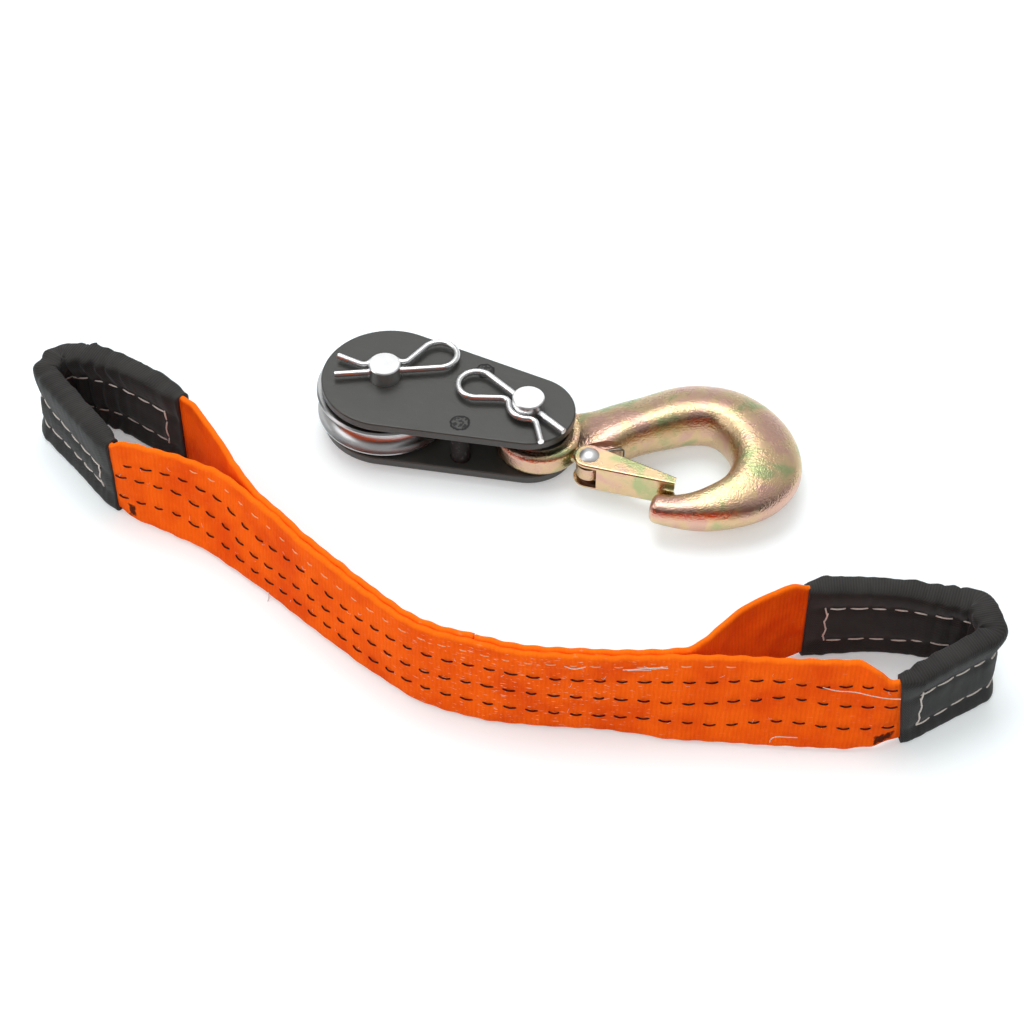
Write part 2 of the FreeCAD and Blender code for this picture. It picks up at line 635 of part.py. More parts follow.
def latch_spring():
    """Double torsion spring: two coils on the rivet, legs on the web, one bridge."""
    low = LUG_THICKNESS / 2 + SPRING_LUG_GAP + SPRING_WIRE / 2
    start = SPRING_WEB_LEG_ANGLE - QUARTER_TURN
    sweep = start - (SPRING_BRIDGE_ANGLE + QUARTER_TURN) + 2 * FULL_TURN
    rise = SPRING_PITCH * sweep / FULL_TURN
    foot = polar(SPRING_COIL_RADIUS, start)
    leave = polar(SPRING_COIL_RADIUS, start - sweep)
    tip = polar(SPRING_WEB_LEG, SPRING_WEB_LEG_ANGLE, foot)

    left_handed = True
    helix = Part.makeHelix(SPRING_PITCH, rise, SPRING_COIL_RADIUS, 0, left_handed)
    helix.Placement = Placement(Vector(0, 0, low), Rotation(UP, start))
    coil = tube(helix.Edges, SPRING_WIRE)
    leg = tube([line_edge(tip, foot, low)], SPRING_WIRE)
    beads = [Part.makeSphere(SPRING_BEAD / 2, Vector(*foot, low)),
             Part.makeSphere(SPRING_BEAD / 2, Vector(*leave, low + rise))]
    half = coil.multiFuse([leg] + beads)
    other_half = half.mirror(Vector(0, 0, 0), UP)
    spring = spring_bridge(leave, low + rise).multiFuse([half, other_half])
    return on_hook(placed(spring, LATCH_PIVOT[0], LATCH_PIVOT[1], 0))


# Strap

def from_left(points):
    return [(STRAP_LEFT_X + x, y - STRAP_FROM_BLOCK) for x, y in points]


def from_right(points):
    return [(STRAP_RIGHT_X + x, y - STRAP_FROM_BLOCK) for x, y in points]


def seam_face():
    """Corners of the near face of the doubled webbing."""
    fore_run = [(FORE_RUN_START_SHARE * STRAP_REACH, 0.0), (FORE_RUN_END_SHARE * STRAP_REACH, FORE_RUN_RISE)]
    return from_left(SEAM_FACE_LEFT + fore_run) + from_right(SEAM_FACE_RIGHT)


def ply_middles():
    """Corners of the middles of the near and the far ply."""
    face = seam_face()
    near = offset_corners(face, WEBBING_THICKNESS / 2)
    far = offset_corners(face, WEBBING_THICKNESS * 1.5 + PLY_GAP)
    return near, far


def point_at_x(corners, x):
    """Point of a left-to-right path of straight runs at a given x."""
    for (ax, ay), (bx, by) in zip(corners, corners[1:]):
        if ax <= x <= bx:
            return (x, ay + (by - ay) * (x - ax) / (bx - ax))
    raise ValueError("the path doesn't reach x = %s" % x)


def webbing_path():
    """Corners and radii of the webbing's middle, from its butt joint and back."""
    near, far = ply_middles()
    joint = STRAP_LEFT_X + BUTT_JOINT_SHARE * STRAP_REACH
    left_end = point_at_x(far, joint - END_GAP / 2)
    right_end = point_at_x(far, joint + END_GAP / 2)
    left_merge = point_at_x(far, STRAP_LEFT_X + LEFT_MERGE)
    right_merge = point_at_x(far, STRAP_RIGHT_X + RIGHT_MERGE)
    corners = [left_end, far[2], left_merge] + from_left(LEFT_EYE)[::-1] + near + from_right(RIGHT_EYE)
    corners += [right_merge, far[3], right_end]
    radii = [SEAM_RADII[2], MERGE_RADIUS] + LEFT_EYE_RADII[::-1] + SEAM_RADII + RIGHT_EYE_RADII
    radii += [MERGE_RADIUS, SEAM_RADII[3]]
    return corners, radii


def gather_block(mouth, end, low_y, high_y):
    """What the gathered webbing lacks in height, from a slope at a sleeve's mouth to the end."""
    full = SLEEVE_WALL + WEBBING_WIDTH
    gathered = SLEEVE_WALL + GATHERED_WIDTH
    slope_start = mouth + math.copysign(GATHER_LENGTH, mouth - end)
    above = full + 1
    corners = [(mouth, gathered), (slope_start, full), (slope_start, above), (end, above), (end, gathered)]
    side = Part.makePolygon([Vector(x, low_y, z) for x, z in corners + corners[:1]])
    return Part.Face(side).extrude(Vector(0, high_y - low_y, 0))


def gather_blocks():
    """One block for each of the four places where the webbing enters a sleeve."""
    face = seam_face()
    left_eye, right_eye = from_left(LEFT_EYE), from_right(RIGHT_EYE)
    left_end, right_end = STRAP_LEFT_X - SLEEVE_TRIM, STRAP_RIGHT_X + SLEEVE_TRIM
    left_middle = LEFT_EYE_MIDDLE - STRAP_FROM_BLOCK
    right_middle = RIGHT_EYE_MIDDLE - STRAP_FROM_BLOCK
    front, back = -STRAP_FROM_BLOCK - SLEEVE_TRIM, 0.0
    near_left = face[0][0] - LEFT_SLEEVE_MARGINS[0] + GATHER_CLEARANCE
    far_left = left_eye[-2][0] - LEFT_SLEEVE_MARGINS[1] + GATHER_CLEARANCE
    near_right = face[-1][0] + RIGHT_SLEEVE_MARGINS[0] - GATHER_CLEARANCE
    far_right = right_eye[-1][0] + RIGHT_SLEEVE_MARGINS[1] - GATHER_CLEARANCE
    return [
        gather_block(near_left, left_end, front, left_middle),
        gather_block(far_left, left_end, left_middle, back),
        gather_block(near_right, right_end, front, right_middle),
        gather_block(far_right, right_end, right_middle, back),
    ]


def strap_webbing():
    """Webbing on edge, lower inside the sleeves, where it is gathered."""
    corners, radii = webbing_path()
    webbing = band(corners, radii, WEBBING_THICKNESS, SLEEVE_WALL, SLEEVE_WALL + WEBBING_WIDTH)
    return webbing.cut(gather_blocks())


def between(start, end, distance):
    length = math.dist(start, end)
    share = distance / length
    return (start[0] + (end[0] - start[0]) * share, start[1] + (end[1] - start[1]) * share)


def end_trim(end, inward, margin, top):
    """Block that squares off a sleeve a margin before the end of a run."""
    face = between(end, inward, margin)
    back = between(end, inward, margin - SLEEVE_TRIM)
    side = SLEEVE_TRIM / (2 * math.dist(face, back))
    across = ((face[1] - back[1]) * side, (back[0] - face[0]) * side)
    block = [
        (face[0] + across[0], face[1] + across[1]), (face[0] - across[0], face[1] - across[1]),
        (back[0] - across[0], back[1] - across[1]), (back[0] + across[0], back[1] + across[1]),
    ]
    return extruded(polygon_edges(block), -1, top + 1)


def eye_sleeve(seam, seam_radius, eye, radii, merge, margins):
    """Fabric tube round one eye, open at both ends where the webbing enters."""
    front = between(seam[0], seam[1], SLEEVE_LEAD)
    back = between(eye[-1], merge, SLEEVE_LEAD)
    corners = [front, seam[0]] + eye + [back]
    bends = [seam_radius] + radii
    passage = WEBBING_THICKNESS + 2 * SLEEVE_SLACK
    top = GATHERED_WIDTH + 2 * SLEEVE_WALL
    shell = band(corners, bends, passage + 2 * SLEEVE_WALL, 0, top)
    room = band(corners, bends, passage, SLEEVE_WALL - SLEEVE_SLACK, top - SLEEVE_WALL + SLEEVE_SLACK)
    front_trim = end_trim(seam[0], eye[0], margins[0], top)
    back_trim = end_trim(eye[-1], eye[-2], margins[1], top)
    return shell.cut(room).cut(front_trim).cut(back_trim)


def left_eye_sleeve():
    near, far = ply_middles()
    *eye, merge = from_left(LEFT_EYE)
    return eye_sleeve(near[:2], SEAM_RADII[0], eye, LEFT_EYE_RADII[:-1], merge, LEFT_SLEEVE_MARGINS)


def right_eye_sleeve():
    near, far = ply_middles()
    merge = point_at_x(far, STRAP_RIGHT_X + RIGHT_MERGE)
    seam = [near[-1], near[-2]]
    eye = from_right(RIGHT_EYE)
    return eye_sleeve(seam, SEAM_RADII[-1], eye, RIGHT_EYE_RADII, merge, RIGHT_SLEEVE_MARGINS)


def build():
    near_post, far_post = post_positions()
    nodes = {
        "lower_side_plate": side_plate(LOWER_PLATE_Z, LOWER_PLATE_Z),
        "upper_side_plate": side_plate(UPPER_PLATE_Z, BLOCK_TOP_Z),
        "near_spacer_post": spacer_post(*near_post),
        "far_spacer_post": spacer_post(*far_post),
        "sheave": sheave_wheel(),
        "sheave_bushing": sheave_bushing(),
        "sheave_pin": clevis_pin(0, SHEAVE_CLIP_ANGLE),
        "hook_pin": clevis_pin(PIN_SPACING, HOOK_CLIP_ANGLE),
        "sheave_pin_clip": hairpin_clip(0, SHEAVE_CLIP_ANGLE),
        "hook_pin_clip": hairpin_clip(PIN_SPACING, HOOK_CLIP_ANGLE),
        "hook": hook_body(),
        "latch": latch_channel(),
        "latch_rivet": latch_rivet(),
        "latch_spring": latch_spring(),
        "strap_webbing": strap_webbing(),
        "left_eye_sleeve": left_eye_sleeve(),
        "right_eye_sleeve": right_eye_sleeve(),
    }
    os.makedirs("parts", exist_ok=True)
    for name, shape in nodes.items():
        shape.exportStep("parts/%s.step" % name)
        box = shape.BoundBox
        print("%-18s %2d solids, valid %s, %8.0f mm3, x %.1f..%.1f y %.1f..%.1f z %.1f..%.1f" % (
            name, len(shape.Solids), shape.isValid(), shape.Volume,
            box.XMin, box.XMax, box.YMin, box.YMax, box.ZMin, box.ZMax))


build()
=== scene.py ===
import math

import bmesh
import bpy
from bpy.props import FloatProperty, FloatVectorProperty, PointerProperty
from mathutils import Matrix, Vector, noise


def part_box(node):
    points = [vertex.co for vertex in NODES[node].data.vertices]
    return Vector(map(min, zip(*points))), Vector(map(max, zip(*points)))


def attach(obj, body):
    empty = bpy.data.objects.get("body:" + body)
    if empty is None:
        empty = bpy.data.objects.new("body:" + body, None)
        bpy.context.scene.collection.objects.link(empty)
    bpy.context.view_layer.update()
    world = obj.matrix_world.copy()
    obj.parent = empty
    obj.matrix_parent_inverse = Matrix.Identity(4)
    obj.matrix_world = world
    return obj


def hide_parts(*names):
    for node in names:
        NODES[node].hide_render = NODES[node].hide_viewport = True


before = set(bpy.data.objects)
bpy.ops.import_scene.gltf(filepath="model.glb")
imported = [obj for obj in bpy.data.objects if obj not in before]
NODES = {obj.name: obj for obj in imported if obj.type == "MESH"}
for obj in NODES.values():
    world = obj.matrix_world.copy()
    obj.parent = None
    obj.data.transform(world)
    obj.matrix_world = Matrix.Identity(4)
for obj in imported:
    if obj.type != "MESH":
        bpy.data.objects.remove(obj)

bl_info = {
    "name": "Snatch Block and Tree Strap",
    "version": (1, 0, 0),
    "blender": (4, 5, 0),
    "location": "3D View > Sidebar > Snatch Block",
    "description": "Finishes for a small snatch block with an eye hook, and its sewn tree strap",
    "category": "Object",
}

MM = 0.001

# The strap as it stands on the ground, in millimetres. The near face of the
# doubled webbing runs from left to right, then come the eyes' middle lines.
SEAM_FACE = [(-104.0, -98.0), (-55.0, -101.5), (74.0, -165.0), (122.0, -164.5), (289.0, -119.0)]
SEAM_RADII = [20.0, 105.0, 75.0, 110.0, 22.0]
BUTT_JOINT_X = 100.8
END_GAP = 0.6
LEFT_EYE = [(-159.5, -58.0), (-157.0, -42.5), (-124.0, -44.0), (-79.0, -58.5), (-45.0, -97.0)]
LEFT_EYE_RADII = [6.5, 6.0, 60.0, 45.0, 40.0]
LEFT_MERGE_X = -22.0
RIGHT_EYE = [(322.0, -78.0), (310.5, -60.5), (270.0, -64.0), (232.0, -80.5)]
RIGHT_EYE_RADII = [6.0, 6.0, 90.0, 40.0]
RIGHT_MERGE_X = 196.0
MERGE_RADIUS = 30.0
SLEEVE_LEAD = 16.0
LEFT_SLEEVE_MARGINS = (0.0, 4.5)
RIGHT_SLEEVE_MARGINS = (-2.0, 2.0)

# Each sleeve at shares of its length, from its near mouth round the eye: its height,
# how far its top leans into the eye, and the height shares of its two rows of stitches
SLEEVE_SHAPES = {
    "left": [
        (0.0, 48.0, 0.0, 0.25, 0.52), (0.2, 47.5, 0.6, 0.24, 0.50), (0.36, 46.0, 2.6, 0.24, 0.55),
        (0.50, 46.0, 4.0, 0.25, 0.62), (0.64, 49.0, 0.8, 0.25, 0.66), (0.85, 50.0, 0.0, 0.25, 0.66),
        (1.0, 49.0, 0.0, 0.22, 0.66)],
    "right": [
        (0.0, 45.0, 0.0, 0.22, 0.70), (0.15, 46.5, 0.0, 0.22, 0.70), (0.40, 47.0, 1.0, 0.24, 0.68),
        (0.52, 45.0, 1.5, 0.24, 0.68), (0.72, 44.5, 0.0, 0.22, 0.70), (1.0, 47.8, 0.0, 0.22, 0.70)],
}

# Where along each sleeve its folds are deepest, as a share of its length, and how deep they are
FOLDS = {"left": (0.60, 1.6), "right": (0.50, 0.8)}

# How far from a sleeve's near and far mouth the webbing starts to narrow
GATHER_LENGTHS = {"left": (8.0, 11.0), "right": (15.0, 9.0)}

# How far a sleeve's near end slants: its foot stands further round the eye than its top
MOUTH_SLANTS = {"left": 0.0, "right": 4.5}

# How much less high than its sleeve the webbing stands at a mouth, and how much less again further in
MOUTH_ROOM = 2.4
INNER_ROOM = 3.2

# How far the webbing's lower and upper edge stand from its mean, along the seam
SEAM_LEAN = [
    (-112.0, 0.0, 0.0), (-104.0, -0.5, -2.0), (-90.0, -3.8, 0.2), (-66.0, -6.0, 1.6), (-40.0, -6.4, 4.0),
    (-15.0, -4.8, 3.0), (10.0, -4.6, 0.6), (40.0, -3.6, 0.2), (63.0, -1.6, 0.8), (100.0, -1.4, 2.0),
    (130.0, 0.3, 1.4), (160.0, -0.2, 1.2), (175.0, -2.0, 2.0), (190.0, -4.6, 3.4), (215.0, -5.2, 4.2),
    (235.0, -5.9, 3.8), (267.0, -6.2, 4.4), (278.0, -4.2, 0.4), (289.0, -0.4, -3.4), (298.0, 0.0, 0.0),
]

# Where the far ply bulges back: start, peak and end along x, and how far
FAR_BULGES = [(-78.0, -54.0, -26.0, 3.2), (193.0, 214.0, 234.0, 5.2)]

# Height of each seam row along the seam, as a share of the webbing's width
SEAM_ROWS = [
    [(-103, 0.25), (-90, 0.275), (-70, 0.30), (-52, 0.235), (-20, 0.17), (10, 0.21), (45, 0.19), (84, 0.24),
     (110, 0.25), (150, 0.21), (190, 0.24), (209, 0.22), (238, 0.31), (266, 0.256), (286, 0.26)],
    [(-103, 0.53), (-90, 0.55), (-69, 0.566), (-52, 0.48), (-20, 0.35), (8, 0.40), (45, 0.41), (84, 0.45),
     (110, 0.482), (150, 0.454), (200, 0.457), (218, 0.51), (238, 0.585), (264, 0.51), (286, 0.55)],
    [(-96, 0.71), (-80, 0.746), (-69, 0.757), (-52, 0.72), (-20, 0.60), (8, 0.665), (30, 0.607), (84, 0.683),
     (110, 0.71), (145, 0.683), (200, 0.71), (232, 0.768), (254, 0.716), (284, 0.78)],
]
FAINT_ROW = [(-60, 0.90), (-20, 0.84), (30, 0.82), (84, 0.87), (150, 0.88), (215, 0.90)]

# Loose ends of thread on the near face, as (x, height share, distance off the face)
LOOSE_THREADS = [
    [(254, 0.725, 0.5), (260, 0.70, 0.9), (268, 0.69, 0.8), (276, 0.695, 1.0), (283, 0.69, 1.1),
     (288.5, 0.73, 2.0)],
    [(235.2, 0.07, 0.5), (235.8, 0.13, 1.4), (237.5, 0.16, 1.8), (242, 0.155, 1.4), (246.8, 0.14, 0.6)],
    [(168, 0.86, 0.5), (172, 0.88, 1.2), (177, 0.89, 0.9), (183, 0.90, 1.1), (187, 0.88, 0.5)],
    [(170, 0.85, 0.4), (175, 0.875, 1.1), (180, 0.86, 0.5)],
    [(177, 0.905, 0.5), (181, 0.885, 1.0), (185, 0.90, 0.5)],
    [(143, 0.88, 0.5), (147, 0.865, 1.2), (152, 0.885, 0.6)],
    [(-14, 0.05, 0.4), (-13.4, 0.01, 1.4), (-13.8, -0.03, 2.2)],
]

# Where the latch spring's legs are cut from its coils, from the spring's left end
SPRING_CUT = 8.5

# How much wider than the webbing a sleeve is inside
SLEEVE_SLACK = 0.3

# Distance of a sleeve's box of stitches from its ends
BOX_MARGIN = 9.5

# How deep the threads lie in the cloth, on the seam and on the sleeves
SEAM_SINK = 0.35
SLEEVE_SINK = 0.25

# How high the stitches bow, and how long the stitches across a sleeve's ends are
SEAM_BOW = 1.6
SLEEVE_BOW = 1.1
END_BOW = 1.0
END_STITCH = 5.2

# Lengths, widths and spread of the loose fibres, and the radius of the loose threads
FIBRE_LENGTH = 2.6
FIBRE_WIDTH = 0.15
FIBRE_SPREAD = 4.0
LOOSE_RADIUS = 0.22

# Tint of the worn threads in the faint row over the seam
RUBBED_TINT = (0.85, 0.42, 0.22)

# Radius of the cracked disc over each swaged post
POST_HEAD_RADIUS = 4.55

# The melted smudges on the near face: their middles, and how steeply they end along each axis
SMUDGES = [
    ((-0.0952, -0.1015, 0.0075), (430.0, 120.0, 230.0)),
    ((0.2835, -0.1230, 0.0065), (260.0, 120.0, 330.0)),
]

FLOOR_HALF_SIZE = 6.0

# Each lamp's name, place, size in metres and power in watts, and whether the metals mirror it
LAMPS = [
    ("Overhead softbox", (-0.25, 0.5, 1.9), 1.3, 21.5, True),
    ("Side softbox", (-1.6, -0.7, 1.3), 1.2, 8.0, True),
    ("Front fill", (0.2, -1.95, 1.6), 1.4, 24.5, False),
]
LAMP_AIM = Vector((0.08, -0.05, 0.0))


def size_property(name, description, default, low=0.0):
    return FloatProperty(name=name, description=description, default=default, min=low, unit="LENGTH")


def colour_property(name, description, default):
    return FloatVectorProperty(name=name, description=description, default=default, size=3, min=0, max=1,
                               subtype="COLOR")


def turn_property(name, description, degrees):
    return FloatProperty(name=name, description=description, default=math.radians(degrees), subtype="ANGLE")


class StrapSizes(bpy.types.PropertyGroup):
    """Sizes of the webbing, its seam and its sleeves."""
    webbing_width: size_property("Webbing width", "Height of the webbing as it stands", 0.0508, 0.01)
    webbing_thickness: size_property("Webbing thickness", "Thickness of one ply", 0.003, 0.001)
    ply_gap: size_property("Ply gap", "Gap between the two plies", 0.0003)
    sleeve_wall: size_property("Sleeve wall", "Thickness of the sleeve's cloth", 0.0013, 0.0005)
    sleeve_puff: size_property("Sleeve puff", "How far the sleeve stands off the webbing", 0.0020)
    seam_pitch: size_property("Seam pitch", "Distance from stitch to stitch in the seam", 0.0099, 0.002)
    seam_stitch: size_property("Seam stitch", "Length of one seam stitch", 0.0056, 0.001)
    sleeve_pitch: size_property("Sleeve pitch", "Distance from stitch to stitch on a sleeve", 0.0095, 0.002)
    sleeve_stitch: size_property("Sleeve stitch", "Length of one sleeve stitch", 0.0083, 0.001)
    thread_width: size_property("Thread width", "Thickness of the sewing thread", 0.0009, 0.0002)
    scallop: size_property("Edge scallop", "How far the seam pulls the webbing's edge in", 0.0007)
    fuzz_pitch: size_property("Fuzz pitch", "Mean distance between loose fibres along a row", 0.0075, 0.0005)


class FinishColours(bpy.types.PropertyGroup):
    """Colours of the finishes, as Blender's own linear values."""
    coat: colour_property("Plate coat", "Black powder coat of the side plates", (0.026, 0.0265, 0.023))
    zinc: colour_property("Bright zinc", "Plating of the sheave, pins and clips", (0.84, 0.845, 0.85))
    bronze: colour_property("Bronze", "Sheave bushing", (0.42, 0.25, 0.10))
    gold: colour_property("Yellow zinc", "Main tint of the hook's plating", (0.68, 0.49, 0.29))
    rose: colour_property("Yellow zinc, rose", "Rose tint of the hook's plating", (0.66, 0.41, 0.32))
    green: colour_property("Yellow zinc, green", "Green tint of the hook's plating", (0.43, 0.46, 0.23))
    steel: colour_property("Spring steel", "Latch spring", (0.30, 0.29, 0.27))
    webbing: colour_property("Webbing", "Orange of the webbing", (1.0, 0.100, 0.003))
    webbing_light: colour_property("Webbing, raised yarns", "Lighter orange of raised yarns",
                                   (1.0, 0.155, 0.005))
    seam_thread: colour_property("Seam thread", "Dark thread of the long seam", (0.030, 0.006, 0.006))
    sleeve: colour_property("Sleeve", "Black cloth of the eye sleeves", (0.013, 0.0120, 0.0112))
    sleeve_thread: colour_property("Sleeve thread", "Pale thread of the sleeves", (0.74, 0.66, 0.60))


class StageSettings(bpy.types.PropertyGroup):
    """Floor, lamps and camera."""
    floor: colour_property("Floor", "Colour of the floor", (0.77, 0.83, 0.842))
    camera_place: FloatVectorProperty(name="Camera place", description="Where the camera stands",
                                      default=(0.34679, -0.85337, 0.94780), size=3, subtype="TRANSLATION")
    camera_pitch: turn_property("Camera pitch", "Turn of the camera from looking straight down", 42.16)
    camera_turn: turn_property("Camera turn", "Turn of the camera about the vertical", 18.18)
    lens: FloatProperty(name="Lens", description="Focal length in millimetres", default=91.41, min=10)


# Paths of straight runs and rounded corners, in millimetres on the ground

def offset_corners(corners, distance):
    """Corners of the same path moved to its left by a distance."""
    points = [Vector(corner) for corner in corners]
    normals = []
    for a, b in zip(points, points[1:]):
        run = (b - a).normalized()
        normals.append(Vector((-run.y, run.x)))
    befores = normals[:1] + normals
    afters = normals + normals[-1:]
    return [tuple(point + (before + after) * (distance / (1 + before.dot(after))))
            for point, before, after in zip(points, befores, afters)]


def point_at_x(corners, x):
    """Point of a left-to-right path at a given x."""
    for (ax, ay), (bx, by) in zip(corners, corners[1:]):
        if ax <= x <= bx:
            return (x, ay + (by - ay) * (x - ax) / (bx - ax))
    raise ValueError("the path doesn't reach x = %s" % x)


def rounded_path(corners, radii, step=0.4):
    """Points of a path whose inner corners are rounded by arcs."""
    corners = [Vector(corner) for corner in corners]
    points = [corners[0]]
    for before, corner, after, radius in zip(corners, corners[1:], corners[2:], radii):
        back = (before - corner).normalized()
        ahead = (after - corner).normalized()
        half = back.angle(-ahead) / 2
        centre = corner + (back + ahead).normalized() * (radius / math.cos(half))
        first = corner + back * (radius * math.tan(half)) - centre
        last = corner + ahead * (radius * math.tan(half)) - centre
        sweep = math.atan2(first.x * last.y - first.y * last.x, first.dot(last))
        count = max(3, int(abs(sweep) * radius / step))
        for index in range(count + 1):
            angle = sweep * index / count
            turned = Vector((first.x * math.cos(angle) - first.y * math.sin(angle),
                             first.x * math.sin(angle) + first.y * math.cos(angle)))
            points.append(centre + turned)
    points.append(corners[-1])
    return points


def even_path(points, step):
    """The same path as points an even step apart."""
    lengths = [0.0]
    for a, b in zip(points, points[1:]):
        lengths.append(lengths[-1] + (b - a).length)
    count = max(2, round(lengths[-1] / step))
    even = []
    index = 0
    for number in range(count + 1):
        target = lengths[-1] * number / count
        while index < len(lengths) - 2 and lengths[index + 1] < target:
            index += 1
        span = max(lengths[index + 1] - lengths[index], 1e-9)
        even.append(points[index].lerp(points[index + 1], (target - lengths[index]) / span))
    return even


def path_normals(points):
    """Unit normals to the left of a path."""
    normals = []
    for index in range(len(points)):
        run = points[min(index + 1, len(points) - 1)] - points[max(index - 1, 0)]
        run.normalize()
        normals.append(Vector((-run.y, run.x)))
    return normals


def between_stations(table, x):
    """Smooth value between the rows of a table of (x, value, ...)."""
    if x <= table[0][0]:
        return table[0][1:]
    for low, high in zip(table, table[1:]):
        if x <= high[0]:
            share = (x - low[0]) / (high[0] - low[0])
            share = share * share * (3 - 2 * share)
            return tuple(a + (b - a) * share for a, b in zip(low[1:], high[1:]))
    return table[-1][1:]


def fade(value, low, high):
    """0 below low, 1 above high, smooth between."""
    share = min(1.0, max(0.0, (value - low) / (high - low)))
    return share * share * (3 - 2 * share)


# Strap layout, shared by the webbing, its seam and its sleeves

def ply_middles(sizes):
    """Corners of the middles of the near and the far ply, in millimetres."""
    thickness = sizes.webbing_thickness / MM
    near = offset_corners(SEAM_FACE, thickness / 2)
    far = offset_corners(SEAM_FACE, thickness * 1.5 + sizes.ply_gap / MM)
    return near, far


def webbing_corners(sizes):
    """Corners and radii of the one length of webbing, from its butt joint and back."""
    near, far = ply_middles(sizes)
    corners = [point_at_x(far, BUTT_JOINT_X - END_GAP / 2), far[2], point_at_x(far, LEFT_MERGE_X)]
    corners += LEFT_EYE[::-1] + near + RIGHT_EYE
    corners += [point_at_x(far, RIGHT_MERGE_X), far[3], point_at_x(far, BUTT_JOINT_X + END_GAP / 2)]
    radii = [SEAM_RADII[2], MERGE_RADIUS] + LEFT_EYE_RADII[::-1] + SEAM_RADII + RIGHT_EYE_RADII
    return corners, radii + [MERGE_RADIUS, SEAM_RADII[3]]


def behind_face(x, y):
    """How far behind the seam's near face a place lies, in millimetres."""
    held = min(max(x, SEAM_FACE[0][0]), SEAM_FACE[-1][0])
    return y - point_at_x(SEAM_FACE, held)[1]


def seam_share(x, y):
    """1 where the plies are sewn together, falling to 0 round the eyes."""
    first, last = SEAM_FACE[0][0], SEAM_FACE[-1][0]
    inside = fade(x, first - 8, first + 2) * (1 - fade(x, last - 2, last + 8))
    return inside * (1 - fade(behind_face(x, y), 6.0, 22.0))


def lean_at(x, y, share):
    """How far the webbing stands off its mean at a height share, in millimetres."""
    low, high = between_stations(SEAM_LEAN, x)
    return (low + (high - low) * share) * seam_share(x, y)


def sleeved_stretches(path, sizes):
    """For each sleeve, the places along the webbing of its near and its far mouth."""
    stretches = {}
    for side in ("left", "right"):
        sleeve = sleeve_path(side, sizes)
        places = []
        for mouth in (sleeve[0], sleeve[-1]):
            travelled = 0.0
            best = (1e9, 0.0)
            for a, b in zip(path, path[1:]):
                best = min(best, ((b - mouth).length, travelled))
                travelled += (b - a).length
            places.append(best[1])
        stretches[side] = places
    return stretches


def gathered(travelled, stretches, width):
    """The webbing's width at a place along it, its gather and its enclosure from 0 to 1, and its lean."""
    narrowest, most, enclosed, leans = width, 0.0, 0.0, 0.0
    for side, (near, far) in stretches.items():
        length = abs(far - near)
        share = (travelled - near) / (far - near)
        stands, inward = between_stations(SLEEVE_SHAPES[side], share)[:2]
        past_near, past_far = share * length, (1 - share) * length
        near_length, far_length = GATHER_LENGTHS[side]
        amount = min(fade(past_near, -near_length, 1.0), fade(past_far, -far_length, 1.0))
        room = MOUTH_ROOM + INNER_ROOM * fade(min(past_near, past_far), 0.5, 7.0)
        narrowest = min(narrowest, width + (stands - room - width) * amount)
        most = max(most, amount)
        held = min(fade(past_near, -6.0, 4.0), fade(past_far, -6.0, 4.0))
        enclosed = max(enclosed, held)
        leans += inward * held
    return narrowest, most, enclosed, leans


def far_bulge(x, y, share):
    """How far the far ply bulges back where it leaves the seam for an eye, in millimetres."""
    hump = 0.0
    for low, peak, high, amount in FAR_BULGES:
        hump += amount * fade(x, low, peak) * (1 - fade(x, peak, high))
    return hump * fade(behind_face(x, y), 3.0, 4.6) * (0.4 + 0.6 * share)


def row_dimple(x, share, pitch):
    """0 to 1 near the seam rows, strongest at the stitches."""
    deepest = 0.0
    for row in SEAM_ROWS:
        height, = between_stations(row, x)
        deepest = max(deepest, math.exp(-((share - height) / 0.035) ** 2))
    return deepest * (0.65 + 0.35 * math.cos(2 * math.pi * x / pitch))


# Meshes swept along an upright path

def stadium(width, thickness, rows):
    """Closed upright section of (across, height), flat faces and rounded edges."""
    half = thickness / 2
    heights = [half + (width - thickness) * index / rows for index in range(rows + 1)]
    bend = [math.pi * step / 6 for step in range(1, 6)]
    section = [(half, height) for height in heights]
    section += [(half * math.cos(angle), width - half + half * math.sin(angle)) for angle in bend]
    section += [(-half, height) for height in reversed(heights)]
    section += [(-half * math.cos(angle), half - half * math.sin(angle)) for angle in bend]
    return section


def mesh_of_rings(name, shells, coordinates, capped):
    """Mesh from lists of rings. Several shells are joined at their open ends."""
    verts = []
    faces = []
    starts = []
    for rings in shells:
        starts.append(len(verts))
        size = len(rings[0])
        for ring in rings:
            verts.extend(ring)
        for index in range(len(rings) - 1):
            low = starts[-1] + index * size
            faces += [(low + k, low + (k + 1) % size, low + size + (k + 1) % size, low + size + k)
                      for k in range(size)]
    size = len(shells[0][0])
    last = (len(shells[0]) - 1) * size
    if capped:
        faces.append(tuple(range(size)))
        faces.append(tuple(last + k for k in reversed(range(size))))
    else:
        inner = starts[1]
        for end in (0, last):
            faces += [(end + k, end + (k + 1) % size, inner + end + (k + 1) % size, inner + end + k)
                      for k in range(size)]
    mesh = bpy.data.meshes.new(name)
    mesh.from_pydata([Vector(vert) * MM for vert in verts], [], faces)
    work = bmesh.new()
    work.from_mesh(mesh)
    bmesh.ops.recalc_face_normals(work, faces=work.faces)
    for face in work.faces:
        face.smooth = True
    work.to_mesh(mesh)
    work.free()
    layer = mesh.uv_layers.new(name="Cloth")
    flat = [coordinates[loop.vertex_index] for loop in mesh.loops]
    layer.data.foreach_set("uv", [value * MM for pair in flat for value in pair])
    return mesh


